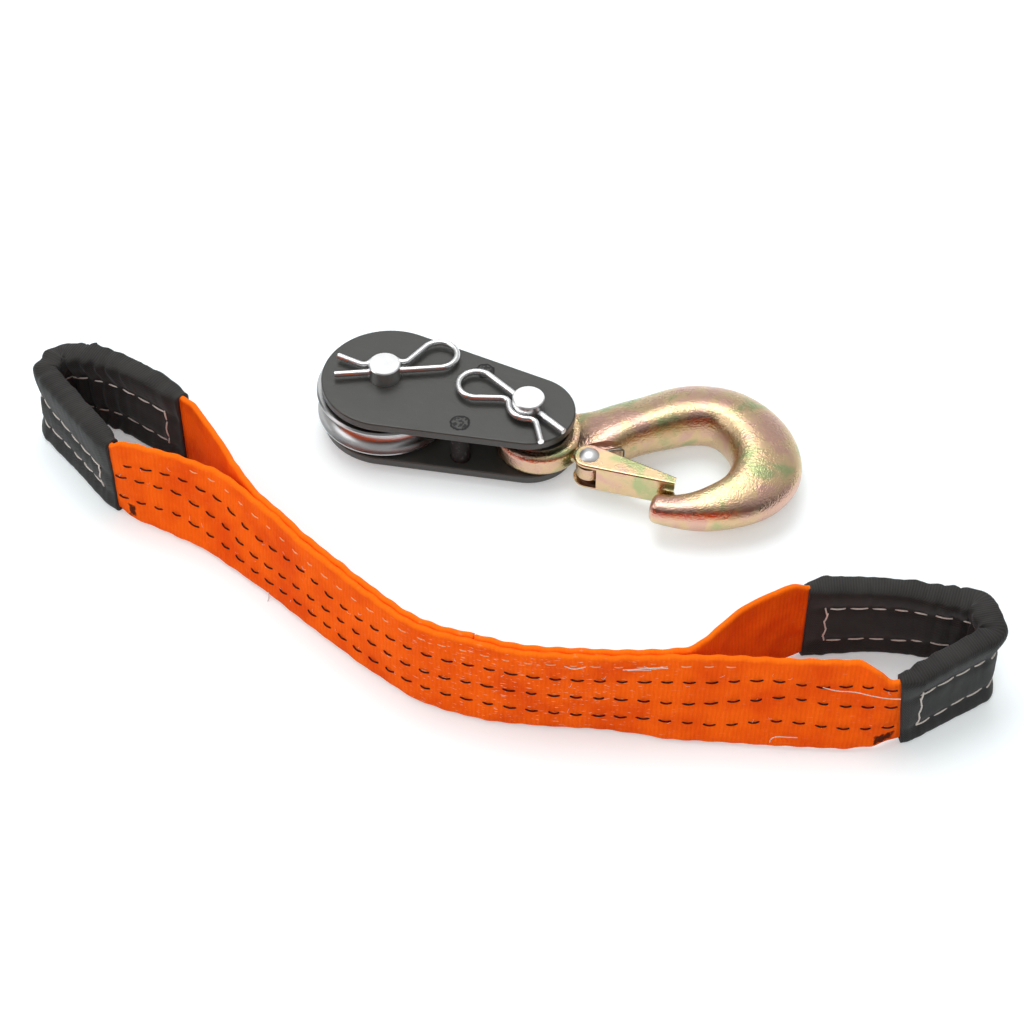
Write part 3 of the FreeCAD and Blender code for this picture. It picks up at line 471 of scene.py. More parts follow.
def add_piece(name, mesh, material, body="strap"):
    """New piece of the object, in place, riding on a body."""
    piece = bpy.data.objects.new(name, mesh)
    bpy.context.scene.collection.objects.link(piece)
    if material:
        mesh.materials.clear()
        mesh.materials.append(material)
    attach(piece, body)
    return piece


# Node helpers

SHADER_INPUTS = {"roughness": "Roughness", "metallic": "Metallic", "specular": "Specular IOR Level",
                 "sheen": "Sheen Weight", "sheen_tint": "Sheen Tint"}


def add(tree, kind, inputs=None, **settings):
    """Adds a node. Its inputs take values or other nodes' sockets."""
    node = tree.nodes.new(kind)
    for name, value in settings.items():
        setattr(node, name, value)
    for key, value in (inputs or {}).items():
        if isinstance(value, bpy.types.NodeSocket):
            tree.links.new(value, node.inputs[key])
        else:
            node.inputs[key].default_value = value
    return node


def math_node(tree, operation, *values):
    return add(tree, "ShaderNodeMath", dict(enumerate(values)), operation=operation).outputs[0]


def vector_node(tree, operation, *values):
    return add(tree, "ShaderNodeVectorMath", dict(enumerate(values)), operation=operation).outputs


def noise_value(tree, place, scale, detail, **more):
    """Value of a noise texture."""
    inputs = {"Vector": place, "Scale": scale, "Detail": detail}
    inputs.update({name.capitalize(): value for name, value in more.items()})
    return add(tree, "ShaderNodeTexNoise", inputs).outputs[0]


def ranged(tree, value, low, high, first, last):
    """A value's run from low to high, turned into one from first to last."""
    return add(tree, "ShaderNodeMapRange", {0: value, 1: low, 2: high, 3: first, 4: last}).outputs[0]


def between(tree, share, first, second):
    """Mix of two values."""
    return add(tree, "ShaderNodeMix", {0: share, 2: first, 3: second}).outputs[0]


def scaled(tree, place, scale):
    return add(tree, "ShaderNodeMapping", {"Vector": place, "Scale": scale})


def coordinates_of(tree):
    """Object coordinates."""
    return tree.nodes.new("ShaderNodeTexCoord").outputs["Object"]


def settle(tree, shader, tint, **values):
    """Links a shader's colour and sets or links its other inputs."""
    tree.links.new(tint, shader.inputs["Base Color"])
    for name, value in values.items():
        socket = shader.inputs[SHADER_INPUTS[name]]
        if isinstance(value, bpy.types.NodeSocket):
            tree.links.new(value, socket)
        else:
            socket.default_value = value


def ramp(tree, value, stops):
    """Colour ramp over (place, colour or grey) stops."""
    node = add(tree, "ShaderNodeValToRGB", {"Fac": value})
    elements = node.color_ramp.elements
    while len(elements) < len(stops):
        elements.new(0.5)
    for element, (place, colour) in zip(elements, stops):
        element.position = place
        element.color = (colour,) * 3 + (1,) if isinstance(colour, (int, float)) else (*colour, 1)
    return node.outputs["Color"]


def mixed(tree, share, first, second):
    """Mix of two colours."""
    colours = [(*value, 1) if isinstance(value, tuple) else value for value in (first, second)]
    return add(tree, "ShaderNodeMix", {0: share, 6: colours[0], 7: colours[1]}, data_type="RGBA").outputs[2]


def new_group(name, inputs, outputs):
    """Shader node group with named sockets."""
    group = bpy.data.node_groups.new(name, "ShaderNodeTree")
    for label, kind, default in inputs:
        socket = group.interface.new_socket(name=label, in_out="INPUT", socket_type=kind)
        if default is not None:
            socket.default_value = default
    for label, kind in outputs:
        group.interface.new_socket(name=label, in_out="OUTPUT", socket_type=kind)
    return group, group.nodes.new("NodeGroupInput").outputs, group.nodes.new("NodeGroupOutput").inputs


def grain_group():
    """Skin of a plated, cast or coated surface: coarse waves, fine peel and scuffs."""
    if "Metal Skin" in bpy.data.node_groups:
        return bpy.data.node_groups["Metal Skin"]
    group, given, made = new_group("Metal Skin", [
        ("Vector", "NodeSocketVector", None), ("Wave Scale", "NodeSocketFloat", 120.0),
        ("Peel Scale", "NodeSocketFloat", 600.0), ("Peel Share", "NodeSocketFloat", 0.5),
        ("Scuff Scale", "NodeSocketFloat", 90.0)],
        [("Height", "NodeSocketFloat"), ("Scuff", "NodeSocketFloat"), ("Drift", "NodeSocketFloat")])
    place, scuff_scale = given["Vector"], given["Scuff Scale"]
    waves = noise_value(group, place, given["Wave Scale"], 2.0)
    peel = noise_value(group, place, given["Peel Scale"], 2.0)
    group.links.new(between(group, given["Peel Share"], waves, peel), made["Height"])
    stretched = scaled(group, place, (1.0, 6.0, 1.0))
    stretched.inputs["Rotation"].default_value = (0.0, 0.0, 0.6)
    scuffs = noise_value(group, stretched.outputs[0], scuff_scale, 6.0, roughness=0.7)
    group.links.new(ranged(group, scuffs, 0.52, 0.72, 0.0, 1.0), made["Scuff"])
    group.links.new(noise_value(group, place, scuff_scale, 3.0), made["Drift"])
    return group


def cloth_group():
    """Weave of two crossing sets of yarns, with a height and a shade."""
    if "Woven Cloth" in bpy.data.node_groups:
        return bpy.data.node_groups["Woven Cloth"]
    group, given, made = new_group("Woven Cloth", [
        ("UV", "NodeSocketVector", None), ("Warp Pitch", "NodeSocketFloat", 0.0012),
        ("Weft Pitch", "NodeSocketFloat", 0.0016), ("Twill", "NodeSocketFloat", 0.5),
        ("Unevenness", "NodeSocketFloat", 0.3), ("Warp Share", "NodeSocketFloat", 0.2)],
        [("Height", "NodeSocketFloat"), ("Shade", "NodeSocketFloat"), ("Blotch", "NodeSocketFloat")])
    apart = add(group, "ShaderNodeSeparateXYZ", {0: given["UV"]}).outputs
    shift = math_node(group, "MULTIPLY", noise_value(group, given["UV"], 140.0, 2.0), given["Unevenness"])
    along = math_node(group, "ADD", math_node(group, "DIVIDE", apart[0], given["Weft Pitch"]), shift)
    across = math_node(group, "ADD", math_node(group, "DIVIDE", apart[1], given["Warp Pitch"]), shift)
    slanted = math_node(group, "ADD", along, math_node(group, "MULTIPLY", across, given["Twill"]))
    weft = math_node(group, "SINE", math_node(group, "MULTIPLY", slanted, math.tau))
    warp = math_node(group, "SINE", math_node(group, "MULTIPLY", across, math.tau))
    across_share = math_node(group, "MULTIPLY", warp, given["Warp Share"])
    both = math_node(group, "ADD", math_node(group, "MULTIPLY", weft, 0.3), across_share)
    height = math_node(group, "ADD", both, 0.5)
    group.links.new(height, made["Height"])
    group.links.new(between(group, 0.35, height, noise_value(group, given["UV"], 900.0, 3.0)), made["Shade"])
    group.links.new(noise_value(group, given["UV"], 45.0, 4.0), made["Blotch"])
    return group


def start_material(name):
    """Material with its tree and its Principled shader."""
    material = bpy.data.materials.new(name)
    material.use_nodes = True
    tree = material.node_tree
    return material, tree, tree.nodes["Principled BSDF"]


def group_node(tree, group, place_name, place, values):
    """A shader group at a place, its other inputs set by name. Gives its outputs."""
    node = tree.nodes.new("ShaderNodeGroup")
    node.node_tree = group
    tree.links.new(place, node.inputs[place_name])
    for name, value in values.items():
        node.inputs[name.replace("_", " ").title()].default_value = value
    return node.outputs


def skin(tree, **values):
    """Metal Skin group on object coordinates."""
    place = coordinates_of(tree)
    return group_node(tree, grain_group(), "Vector", place, values), place


def weave(tree, **values):
    """Woven Cloth group on the piece's own cloth map."""
    own = add(tree, "ShaderNodeUVMap", uv_map="Cloth").outputs[0]
    return group_node(tree, cloth_group(), "UV", own, values), own


def bump(tree, shader, height, strength, distance):
    node = add(tree, "ShaderNodeBump", {"Height": height, "Strength": strength, "Distance": distance})
    tree.links.new(node.outputs[0], shader.inputs["Normal"])


# Finishes

def coat_finish(colour, posts):
    """Satin black powder coat, cracked in a ring and a disc over each swaged post."""
    material, tree, shader = start_material("Powder coat")
    coat, place = skin(tree, wave_scale=350.0, peel_scale=1400.0, peel_share=0.6, scuff_scale=60.0)
    wear_and_shade = math_node(tree, "MULTIPLY", coat["Scuff"], 0.25)
    tint = mixed(tree, wear_and_shade, tuple(colour), tuple(min(1.0, c * 1.8 + 0.004) for c in colour))
    wander = math_node(tree, "SUBTRACT", noise_value(tree, place, 420.0, 3.0), 0.5)
    wander = math_node(tree, "MULTIPLY", wander, 0.0022)
    flat = scaled(tree, place, (1.0, 1.0, 0.0)).outputs[0]
    broken = ramp(tree, noise_value(tree, place, 700.0, 3.0), [(0.47, 0.0), (0.53, 0.85)])
    cracks = 0.0
    for x, y in posts:
        away = vector_node(tree, "DISTANCE", flat, (x, y, 0.0))["Value"]
        off = math_node(tree, "SUBTRACT", math_node(tree, "ADD", away, wander), POST_HEAD_RADIUS * MM)
        in_mm = math_node(tree, "MULTIPLY", math_node(tree, "ABSOLUTE", off), 1000.0)
        ring = ramp(tree, in_mm, [(0.3, 1.0), (0.75, 0.0)])
        disc = math_node(tree, "MULTIPLY", math_node(tree, "LESS_THAN", off, 0.0), broken)
        cracks = math_node(tree, "MAXIMUM", cracks, math_node(tree, "MAXIMUM", ring, disc))
    tint = mixed(tree, cracks, tint, (0.002, 0.002, 0.002))
    rough = ranged(tree, coat["Drift"], 0.3, 0.7, 0.38, 0.48)
    rough = math_node(tree, "ADD", rough, math_node(tree, "MULTIPLY", cracks, 0.4))
    settle(tree, shader, tint, roughness=rough, specular=0.70)
    bump(tree, shader, math_node(tree, "SUBTRACT", coat["Height"], cracks), 0.25, 0.0003)
    return material


def zinc_finish(name, colour, grain, turned=False):
    """Bright zinc plating, with turning marks on lathe-made pieces."""
    material, tree, shader = start_material(name)
    plating, place = skin(tree, wave_scale=240.0, peel_scale=1800.0, peel_share=0.4, scuff_scale=150.0)
    dark = tuple(c * 0.92 for c in colour)
    tint = mixed(tree, plating["Drift"], dark, tuple(min(1.0, c * 1.12) for c in colour))
    settle(tree, shader, tint, roughness=ranged(tree, plating["Scuff"], 0.0, 1.0, 0.28, 0.38), metallic=1.0)
    height = plating["Height"]
    if turned:
        radius = vector_node(tree, "LENGTH", scaled(tree, place, (1.0, 1.0, 0.0)).outputs[0])["Value"]
        rings = add(tree, "ShaderNodeTexNoise", {"W": radius, "Scale": 2600.0, "Detail": 3.0},
                    noise_dimensions="1D")
        height = between(tree, 0.6, height, rings.outputs[0])
    bump(tree, shader, height, grain, 0.0002)
    return material


def gold_finish(name, colours, wave, depth):
    """Yellow zinc plating, gold with drifting rose and green tints."""
    material, tree, shader = start_material(name)
    plating, place = skin(tree, wave_scale=wave, peel_scale=1500.0, peel_share=0.4, scuff_scale=70.0)
    drift = noise_value(tree, place, 40.0, 2.0, roughness=0.55, distortion=0.5)
    spread = between(tree, 0.28, drift, noise_value(tree, place, 120.0, 2.0))
    tint = ramp(tree, spread, [
        (0.38, tuple(colours.green)), (0.46, tuple(colours.gold)), (0.50, tuple(colours.gold)),
        (0.57, tuple(colours.rose))])
    pale = mixed(tree, math_node(tree, "MULTIPLY", plating["Scuff"], 0.10), tint, (0.90, 0.80, 0.68))
    settle(tree, shader, pale, roughness=ranged(tree, plating["Drift"], 0.3, 0.7, 0.20, 0.32), metallic=1.0)
    bump(tree, shader, plating["Height"], depth, 0.0009)
    return material


def plain_metal(name, colour, roughness):
    """Plain metal with a fine grain."""
    material, tree, shader = start_material(name)
    grain = skin(tree, wave_scale=400.0, peel_scale=2200.0, peel_share=0.6, scuff_scale=200.0)[0]
    tint = mixed(tree, grain["Drift"], tuple(c * 0.7 for c in colour), tuple(colour))
    settle(tree, shader, tint, roughness=roughness, metallic=1.0)
    bump(tree, shader, grain["Height"], 0.3, 0.0002)
    return material


def smudge(tree, place, ragged, spot, steepness):
    """1 in a blob with a ragged edge, 0 off it."""
    away = vector_node(tree, "MULTIPLY", vector_node(tree, "SUBTRACT", place, spot)[0], steepness)[0]
    apart = add(tree, "ShaderNodeSeparateXYZ", {0: away}).outputs
    wide, off, tall = (math_node(tree, "ABSOLUTE", apart[axis]) for axis in range(3))
    far = math_node(tree, "MAXIMUM", math_node(tree, "MAXIMUM", wide, tall), off)
    far = math_node(tree, "ADD", far, math_node(tree, "MULTIPLY", ragged, 1.3))
    return ramp(tree, math_node(tree, "MULTIPLY", far, 0.4), [(0.50, 0.92), (0.66, 0.0)])


def webbing_finish(colours, width):
    """Orange webbing: ribs, lighter raised yarns, a painted highlight along both edges, pale scuffs by the
    seam and two melted spots.
    """
    material, tree, shader = start_material("Orange webbing")
    cloth, own = weave(tree, warp_pitch=0.0017, weft_pitch=0.0021, twill=0.0, unevenness=0.5,
                       warp_share=0.06)
    tint = mixed(tree, cloth["Shade"], tuple(colours.webbing), tuple(colours.webbing_light))
    deep = (colours.webbing[0] * 0.80, colours.webbing[1] * 0.66, colours.webbing[2])
    tint = mixed(tree, ramp(tree, cloth["Blotch"], [(0.36, 0.75), (0.58, 0.0)]), tint, deep)

    # Pale rubbed threads, in short streaks along the webbing
    rubs = noise_value(tree, scaled(tree, own, (1.0, 5.0, 1.0)).outputs[0], 260.0, 4.0)
    place = coordinates_of(tree)
    along = add(tree, "ShaderNodeSeparateXYZ", {0: place}).outputs[0]
    patch = ranged(tree, along, 0.05, 0.20, 0.0, 1.0)
    patch = ramp(tree, patch, [(0.0, 0.1), (0.3, 0.8), (0.7, 0.8), (1.0, 0.1)])
    rubbed = math_node(tree, "MULTIPLY", ramp(tree, rubs, [(0.62, 0.0), (0.70, 1.0)]), patch)
    tint = mixed(tree, rubbed, tint, (0.95, 0.62, 0.42))

    # Painted highlight: lighter orange along both edges, strongest along the top edge, where the overhead
    # light falls
    height = add(tree, "ShaderNodeSeparateXYZ", {0: own}).outputs[1]
    share = math_node(tree, "DIVIDE", height, width)
    edge_highlight = ramp(tree, share, [(0.0, 0.6), (0.02, 0.0), (0.955, 0.0), (0.985, 0.8)])
    tint = mixed(tree, edge_highlight, tint, (1.0, 0.17, 0.006))

    # Melted smudges where the seam's thread was cut, near both ends of the near face
    ragged = noise_value(tree, place, 420.0, 2.0)
    for spot, steepness in SMUDGES:
        tint = mixed(tree, smudge(tree, place, ragged, spot, steepness), tint, (0.008, 0.006, 0.005))
    settle(tree, shader, tint, roughness=0.8, specular=0.06, sheen=0.02, sheen_tint=(1.0, 0.45, 0.12, 1.0))
    bump(tree, shader, cloth["Shade"], 0.6, 0.0006)
    return material


def sleeve_finish(colours):
    """Black twill of the eye sleeves."""
    material, tree, shader = start_material("Sleeve cloth")
    cloth = weave(tree, warp_pitch=0.0013, weft_pitch=0.0013, twill=1.0, unevenness=0.2, warp_share=0.10)[0]
    light = tuple(c * 2.6 for c in colours.sleeve)
    tint = mixed(tree, cloth["Shade"], tuple(c * 0.25 for c in colours.sleeve), light)
    tint = mixed(tree, ramp(tree, cloth["Blotch"], [(0.45, 0.0), (0.8, 0.25)]), tint, (0.07, 0.066, 0.062))
    settle(tree, shader, tint, roughness=0.75, specular=0.3, sheen=0.10, sheen_tint=(0.8, 0.82, 0.85, 1.0))
    bump(tree, shader, cloth["Shade"], 0.5, 0.0005)
    return material


def thread_finish(name, colour):
    """Twisted sewing thread."""
    material, tree, shader = start_material(name)
    twist = noise_value(tree, coordinates_of(tree), 1500.0, 2.0)
    tint = mixed(tree, twist, tuple(c * 0.7 for c in colour), tuple(min(1.0, c * 1.2) for c in colour))
    settle(tree, shader, tint, roughness=0.8, specular=0.15)
    bump(tree, shader, twist, 0.5, 0.0003)
    return material


def finish_nodes(material, *names):
    """Gives CAD nodes their finish."""
    for name in names:
        slots = NODES[name].data.materials
        if len(slots) == 0:
            slots.append(material)
        for index in range(len(slots)):
            slots[index] = material


# Running stitches, made by a geometry node tree from a line with an outward direction

def line_tree(name, sizes):
    """New geometry node tree whose input is a line. Gives the tree, its inputs, the line with points a
    pitch apart, and the outward direction."""
    tree = bpy.data.node_groups.new(name, "GeometryNodeTree")
    face = tree.interface
    face.new_socket(name="Geometry", in_out="INPUT", socket_type="NodeSocketGeometry")
    for label, default in sizes:
        socket = face.new_socket(name=label, in_out="INPUT", socket_type="NodeSocketFloat")
        socket.default_value = default
    face.new_socket(name="Material", in_out="INPUT", socket_type="NodeSocketMaterial")
    face.new_socket(name="Geometry", in_out="OUTPUT", socket_type="NodeSocketGeometry")
    given = tree.nodes.new("NodeGroupInput").outputs
    line = add(tree, "GeometryNodeMeshToCurve", {"Mesh": given["Geometry"]}).outputs[0]
    spaced = add(tree, "GeometryNodeResampleCurve", {"Curve": line, "Length": given["Pitch"]}, mode="LENGTH")
    outward = add(tree, "GeometryNodeInputNamedAttribute", {"Name": "outward"}, data_type="FLOAT_VECTOR")
    return tree, given, spaced.outputs[0], outward.outputs[0]


def bowed_thread(tree, given, corners, sides):
    """Round thread that bows between the first and last of three corners."""
    start, middle, end = (add(tree, "ShaderNodeCombineXYZ", corner).outputs[0] for corner in corners)
    bow = add(tree, "GeometryNodeCurveQuadraticBezier",
              {"Resolution": 6, "Start": start, "Middle": middle, "End": end})
    radius = math_node(tree, "MULTIPLY", given["Thickness"], 0.5)
    around = add(tree, "GeometryNodeCurvePrimitiveCircle", {"Resolution": sides, "Radius": radius})
    return add(tree, "GeometryNodeCurveToMesh",
               {"Curve": bow.outputs[0], "Profile Curve": around.outputs[0], "Fill Caps": True}).outputs[0]


def random_value(tree, kind, seed, **inputs):
    """A random value for each point. Its inputs are named low, high or chance."""
    keys = {"low": 2, "high": 3} if kind == "FLOAT" else {"low": 0, "high": 1, "chance": "Probability"}
    values = {keys[name]: value for name, value in inputs.items()}
    node = add(tree, "FunctionNodeRandomValue", {**values, "Seed": seed}, data_type=kind)
    return node.outputs[{"FLOAT_VECTOR": 0, "FLOAT": 1, "BOOLEAN": 3}[kind]]


def finish_tree(tree, given, points, thread, turn, size, smooth):
    """Lays the thread on the points, as one plain mesh with its material."""
    laid = add(tree, "GeometryNodeInstanceOnPoints",
               {"Points": points, "Instance": thread, "Rotation": turn, "Scale": size})
    solid = add(tree, "GeometryNodeRealizeInstances", {0: laid.outputs[0]}).outputs[0]
    if smooth:
        solid = add(tree, "GeometryNodeSetShadeSmooth", {0: solid}).outputs[0]
    made = add(tree, "GeometryNodeSetMaterial", {"Geometry": solid, "Material": given["Material"]})
    tree.links.new(made.outputs[0], tree.nodes.new("NodeGroupOutput").inputs[0])
    return tree


def stitch_tree():
    """Geometry nodes that lay bowed stitches along a line."""
    if "Running Stitch" in bpy.data.node_groups:
        return bpy.data.node_groups["Running Stitch"]
    tree, given, spaced, outward = line_tree("Running Stitch", (
        ("Pitch", 0.01), ("Length", 0.006), ("Thickness", 0.0009), ("Bow", 0.0006)))
    run = tree.nodes.new("GeometryNodeInputTangent").outputs[0]
    along = add(tree, "FunctionNodeAlignRotationToVector", {"Vector": run}, axis="X")
    facing = add(tree, "FunctionNodeAlignRotationToVector",
                 {"Rotation": along.outputs[0], "Vector": outward}, axis="Y", pivot_axis="X")
    half = math_node(tree, "MULTIPLY", given["Length"], 0.5)
    minus = math_node(tree, "MULTIPLY", half, -1.0)
    thread = bowed_thread(tree, given, ({0: minus}, {1: given["Bow"]}, {0: half}), 7)
    vary = random_value(tree, "FLOAT", 7, low=0.82, high=1.12)
    size = add(tree, "ShaderNodeCombineXYZ", {0: vary, 1: 1.0, 2: 1.0}).outputs[0]
    return finish_tree(tree, given, spaced, thread, facing.outputs[0], size, True)


def fibre_tree():
    """Geometry nodes that scatter short bent fibres near a line."""
    if "Loose Fibres" in bpy.data.node_groups:
        return bpy.data.node_groups["Loose Fibres"]
    tree, given, spaced, outward = line_tree("Loose Fibres", (
        ("Pitch", 0.004), ("Length", 0.003), ("Thickness", 0.0002), ("Spread", 0.004)))
    points = add(tree, "GeometryNodeCurveToPoints", {"Curve": spaced}, mode="EVALUATED").outputs[0]
    dropped = random_value(tree, "BOOLEAN", 3, chance=0.7)
    kept = add(tree, "GeometryNodeDeleteGeometry", {"Geometry": points, "Selection": dropped}).outputs[0]
    rise = math_node(tree, "MULTIPLY", random_value(tree, "FLOAT", 11, low=-1.0, high=1.0), given["Spread"])
    offset = add(tree, "ShaderNodeCombineXYZ", {2: rise}).outputs[0]
    moved = add(tree, "GeometryNodeSetPosition", {"Geometry": kept, "Offset": offset}).outputs[0]
    facing = add(tree, "FunctionNodeAlignRotationToVector", {"Vector": outward}, axis="Y").outputs[0]
    tilt = random_value(tree, "FLOAT_VECTOR", 5, low=(-0.3, -3.1, -0.3), high=(0.3, 3.1, 0.3))
    spun = add(tree, "FunctionNodeRotateRotation", {0: facing, 1: tilt}, rotation_space="LOCAL").outputs[0]
    half = math_node(tree, "MULTIPLY", given["Length"], 0.5)
    minus = math_node(tree, "MULTIPLY", half, -1.0)
    raised = math_node(tree, "MULTIPLY", half, 0.6)
    fibre = bowed_thread(tree, given, ({0: minus}, {1: half, 2: raised}, {0: half}), 4)
    size = random_value(tree, "FLOAT", 9, low=0.4, high=1.3)
    return finish_tree(tree, given, moved, fibre, spun, size, False)


def plain_mesh(name, carrier):
    """Plain mesh of what an object's modifiers or curves make. The object is removed."""
    bpy.context.scene.collection.objects.link(carrier)
    graph = bpy.context.evaluated_depsgraph_get()
    done = bpy.data.meshes.new_from_object(carrier.evaluated_get(graph))
    done.name = name
    bpy.data.objects.remove(carrier)
    return done


def grown(name, tree, lines, **values):
    """Plain mesh that a geometry node tree grows on lines of (point, outward) in metres."""
    verts, edges, outward = [], [], []
    for line in lines:
        first = len(verts)
        verts += [point for point, normal in line]
        outward += [normal for point, normal in line]
        edges += [(first + k, first + k + 1) for k in range(len(line) - 1)]
    mesh = bpy.data.meshes.new(name + " lines")
    mesh.from_pydata(verts, edges, [])
    store = mesh.attributes.new("outward", "FLOAT_VECTOR", "POINT")
    store.data.foreach_set("vector", [value for normal in outward for value in normal])
    carrier = bpy.data.objects.new(name + " lines", mesh)
    modifier = carrier.modifiers.new(tree.name, "NODES")
    modifier.node_group = tree
    for socket in tree.interface.items_tree:
        if socket.in_out == "INPUT" and socket.name in values:
            modifier[socket.identifier] = values[socket.name]
    return add_piece(name, plain_mesh(name, carrier), None)


def sewn(name, lines, pitch, length, thickness, bow, material):
    """Plain mesh of stitches along lines."""
    return grown(name, stitch_tree(), lines, Pitch=pitch, Length=length, Thickness=thickness, Bow=bow,
                 Material=material)


def single_stitch(middle, run, outward):
    """A line so short that it gets one stitch, which lies along its run."""
    return [(middle, outward), (middle + run.normalized() * MM, outward)]


def thread_mesh(name, paths, radius):
    """Plain mesh of round threads through smooth paths, in metres."""
    data = bpy.data.curves.new(name, "CURVE")
    data.dimensions = "3D"
    data.bevel_depth = radius
    data.bevel_resolution = 1
    data.use_fill_caps = True
    for path in paths:
        spline = data.splines.new("BEZIER")
        spline.bezier_points.add(len(path) - 1)
        for knot, place in zip(spline.bezier_points, path):
            knot.co = place
            knot.handle_left_type = "AUTO"
            knot.handle_right_type = "AUTO"
        spline.resolution_u = 5
    return plain_mesh(name, bpy.data.objects.new(name + " path", data))


def spring_part(legs):
    """The spring's two legs on the latch's web, or its coils and bridge, cut apart beside the coils."""
    source = NODES["latch_spring"]
    work = bmesh.new()
    work.from_mesh(source.data)
    work.transform(source.matrix_world)
    low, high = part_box("latch_spring")
    cut = low[0] + SPRING_CUT * MM
    middle = (low[1] + high[1]) / 2
    crossing = [face for face in work.faces if max(vert.co.x for vert in face.verts) > cut
                and face.calc_center_median().y < middle]
    around = crossing + [edge for face in crossing for edge in face.edges]
    around += [vert for face in crossing for vert in face.verts]
    bmesh.ops.bisect_plane(work, geom=list(dict.fromkeys(around)), dist=1e-7, plane_co=(cut, 0, 0),
                           plane_no=(1, 0, 0))
    gone = []
    for face in work.faces:
        centre = face.calc_center_median()
        if (centre.x > cut and centre.y < middle) != legs:
            gone.append(face)
    bmesh.ops.delete(work, geom=gone, context="FACES")
    bmesh.ops.holes_fill(work, edges=[edge for edge in work.edges if edge.is_boundary], sides=0)
    bmesh.ops.recalc_face_normals(work, faces=work.faces)
    mesh = bpy.data.meshes.new("spring")
    work.to_mesh(mesh)
    work.free()
    return mesh


# Operators

class SNATCH_OT_stage(bpy.types.Operator):
    """Set the floor, the lamps and the camera"""
    bl_idname = "snatch.stage"
    bl_label = "Stage"

    def execute(self, context):
        scene = context.scene
        stage = scene.snatch_stage
        scene.view_settings.view_transform = "Standard"
        self.floor(stage)
        self.lamps(scene)
        self.surroundings(scene)
        camera = bpy.data.objects.new("Camera", bpy.data.cameras.new("Camera"))
        scene.collection.objects.link(camera)
        camera.location = stage.camera_place
        camera.rotation_euler = (stage.camera_pitch, 0.0, stage.camera_turn)
        camera.data.lens = stage.lens
        camera.data.sensor_width = 36.0
        camera.data.clip_end = 50.0
        scene.camera = camera
        return {"FINISHED"}

    def floor(self, stage):
        """Matt white floor."""
        half = FLOOR_HALF_SIZE
        corners = [(-half, -half, 0), (half, -half, 0), (half, half, 0), (-half, half, 0)]
        mesh = bpy.data.meshes.new("Floor")
        mesh.from_pydata(corners, [], [(0, 1, 2, 3)])
        floor = bpy.data.objects.new("Floor", mesh)
        bpy.context.scene.collection.objects.link(floor)
        material, tree, shader = start_material("Floor")
        place = coordinates_of(tree)
        speck = add(tree, "ShaderNodeTexNoise", {"Vector": place, "Scale": 3.0}).outputs[0]
        light = tuple(stage.floor)
        tint = mixed(tree, speck, light, tuple(c * 0.985 for c in light))
        settle(tree, shader, tint, roughness=0.9, specular=0.1)

        # A glow that only the eye and mirrors see, stronger far off, so that the floor stays white
        ray = tree.nodes.new("ShaderNodeLightPath").outputs
        seen = math_node(tree, "MAXIMUM", ray["Is Camera Ray"], ray["Is Glossy Ray"])
        seen = math_node(tree, "MAXIMUM", seen, ray["Is Transmission Ray"])
        away = vector_node(tree, "LENGTH", place)["Value"]
        glow = ramp(tree, math_node(tree, "MULTIPLY", away, 0.25), [(0.12, 0.25), (0.45, 0.95)])
        lift = add(tree, "ShaderNodeEmission", {"Strength": math_node(tree, "MULTIPLY", seen, glow)})
        total = add(tree, "ShaderNodeAddShader", {0: shader.outputs[0], 1: lift.outputs[0]})
        tree.links.new(total.outputs[0], tree.nodes["Material Output"].inputs["Surface"])
        mesh.materials.append(material)

    def lamps(self, scene):
        """Square softboxes that face the object."""
        for name, place, size, power, mirrored in LAMPS:
            data = bpy.data.lights.new(name, "AREA")
            data.shape = "SQUARE"
            data.size = size
            data.energy = power
            lamp = bpy.data.objects.new(name, data)
            lamp.visible_glossy = mirrored
            scene.collection.objects.link(lamp)
            lamp.location = place
            lamp.rotation_euler = (LAMP_AIM - Vector(place)).to_track_quat("-Z", "Y").to_euler()

    def surroundings(self, scene):
        """White to the eye, and a soft light that is brighter above and behind."""
        world = scene.world or bpy.data.worlds.new("World")
        scene.world = world
        world.use_nodes = True
        tree = world.node_tree
        sky = tree.nodes["Background"]
        ray = tree.nodes.new("ShaderNodeLightPath").outputs
        seen = math_node(tree, "MAXIMUM", ray["Is Camera Ray"], ray["Is Transmission Ray"])
        generated = tree.nodes.new("ShaderNodeTexCoord").outputs["Generated"]
        place = add(tree, "ShaderNodeSeparateXYZ", {0: generated}).outputs
        behind = math_node(tree, "MULTIPLY", place[1], 0.42)
        tilted = math_node(tree, "ADD", math_node(tree, "MULTIPLY", place[2], 0.88), behind)
        soft = ramp(tree, tilted, [(0.0, 0.03), (0.22, 0.12), (0.52, 0.52), (1.0, 0.74)])
        sky.inputs["Color"].default_value = (1.0, 1.0, 1.0, 1.0)
        tree.links.new(between(tree, seen, soft, 1.0), sky.inputs["Strength"])


class SNATCH_OT_plates(bpy.types.Operator):
    """Coat the side plates and the swaged posts"""
    bl_idname = "snatch.plates"
    bl_label = "Side plates"

    def execute(self, context):
        posts = []
        for name in ("near_spacer_post", "far_spacer_post"):
            low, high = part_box(name)
            posts.append(((low[0] + high[0]) / 2, (low[1] + high[1]) / 2))
        coat = coat_finish(context.scene.snatch_colours.coat, posts)
        finish_nodes(coat, "lower_side_plate", "upper_side_plate", "near_spacer_post", "far_spacer_post")
        return {"FINISHED"}


